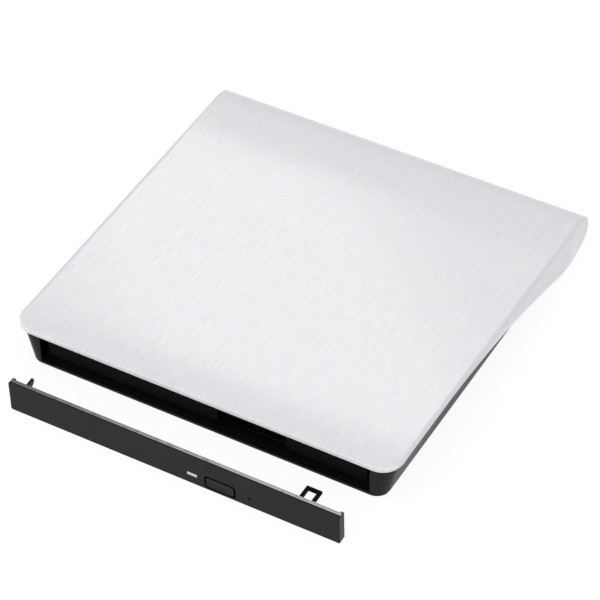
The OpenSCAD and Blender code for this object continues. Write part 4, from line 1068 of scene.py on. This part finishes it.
# %% Rubber feet
FOOT_X, FOOT_YS = 60.6, (12.0, 117.5)
FOOT_PROFILE = [(0.0, -0.6), (2.7, -0.6), (2.9, -0.52), (3.1, -0.6), (4.1, -0.6), (4.3, -0.55), (4.43, -0.45),
                (4.5, -0.3), (4.5, 0.4), (0.0, 0.4)]
feet = Patches()
for foot_x in (-FOOT_X, FOOT_X):
    for foot_y in FOOT_YS:
        feet.grid(turned_about(FOOT_PROFILE, (foot_x, foot_y), 48), round_rows=True)
foot_rubber = rubber("foot_rubber", grey(0.028))
piece("foot_pads", feet, "case", foot_rubber, ["rubber_feet"])

# %% Objective lens
SPINDLE = (sum(box_mm("turntable_pad")) / 2)[:2] - (0, FRONT_Y)
SLANT = np.radians(-45)
LENS_R, LENS_CURVE, LENS_CENTRE, LENS_FLOOR, LENS_Y = 2.0, 4.0, 4.4, 7.1, -24.0


def in_traverse(x, y, z):
    """Points of the traverse's own axes, turned about the spindle onto the drawing's axes."""
    turned_x = x * np.cos(SLANT) - y * np.sin(SLANT)
    turned_y = x * np.sin(SLANT) + y * np.cos(SLANT)
    return at(turned_x + SPINDLE[0], turned_y + SPINDLE[1], z)


glass = Finish("coated_glass", (0.80, 0.88, 0.95), 0.06, specular=0.6, coat=1.0, coat_rough=0.03)
glass.colour(glass.mix(glass.stretch(glass.noise(0.8)), (0.62, 0.74, 0.92), (0.86, 0.90, 0.97)))
glass.set({"Transmission Weight": 0.75, "IOR": 1.52})
dome_r = LENS_R * np.sin(np.linspace(0, np.pi / 2, 13))
dome_z = LENS_CENTRE + np.sqrt(LENS_CURVE ** 2 - dome_r ** 2)
lens_r, lens_z = np.append(dome_r, [LENS_R, 0.0]), np.append(dome_z, [LENS_FLOOR] * 2)
lens_a = np.linspace(0, 2 * np.pi, 48, endpoint=False)[:, None]
dome = Patches()
dome.grid(in_traverse(lens_r * np.cos(lens_a), LENS_Y + lens_r * np.sin(lens_a), lens_z), round_rows=True)
piece("lens_dome", dome, "pickup", glass, ["objective_lens"])

# %% Lead screw
LEAD, GROOVE, CREST = 3.0, 0.28, 1.1
GROOVE_HALF, GROOVE_SLOPE = 0.32, 0.14
THREAD_FRONT, THREAD_REAR, THREAD_ROWS = -56.9, -9.8, 377
SCREW_X, SCREW_Z, SCREW_SIDES = 19.0, 5.2, 36
FRONT_END = np.array([(0.0, -58.7), (0.6, -58.7), (0.7, -58.6), (0.7, -56.95)])
REAR_END = np.array([(0.7, -9.75), (0.7, -5.6), (0.6, -5.5), (0.0, -5.5)])
thread_y = np.linspace(THREAD_FRONT, THREAD_REAR, THREAD_ROWS)
theta = np.linspace(0, 2 * np.pi, SCREW_SIDES, endpoint=False)
phase = (theta[None, :] / (2 * np.pi) - thread_y[:, None] / LEAD) % 1.0
thread_r = CREST - GROOVE * ease((GROOVE_HALF - np.abs(phase - 0.5)) / GROOVE_SLOPE)
front_r, rear_r = (np.tile(end[:, :1], (1, SCREW_SIDES)) for end in (FRONT_END, REAR_END))
screw_y = np.concatenate([FRONT_END[:, 1], thread_y, REAR_END[:, 1]])[:, None]
screw_r = np.concatenate([front_r, thread_r, rear_r])
screw_x, screw_z = SCREW_X + screw_r * np.cos(theta), SCREW_Z + screw_r * np.sin(theta)
thread = Patches()
thread.grid(in_traverse(screw_x, screw_y, screw_z), round_columns=True)
screw_steel = rolled("lead_screw_steel", (0.66, 0.66, 0.67), 0.2, per_mm=2.0, depth_mm=0.002)
piece("threaded_screw", thread, "lead_screw", screw_steel, ["lead_screw"], smooth=50)
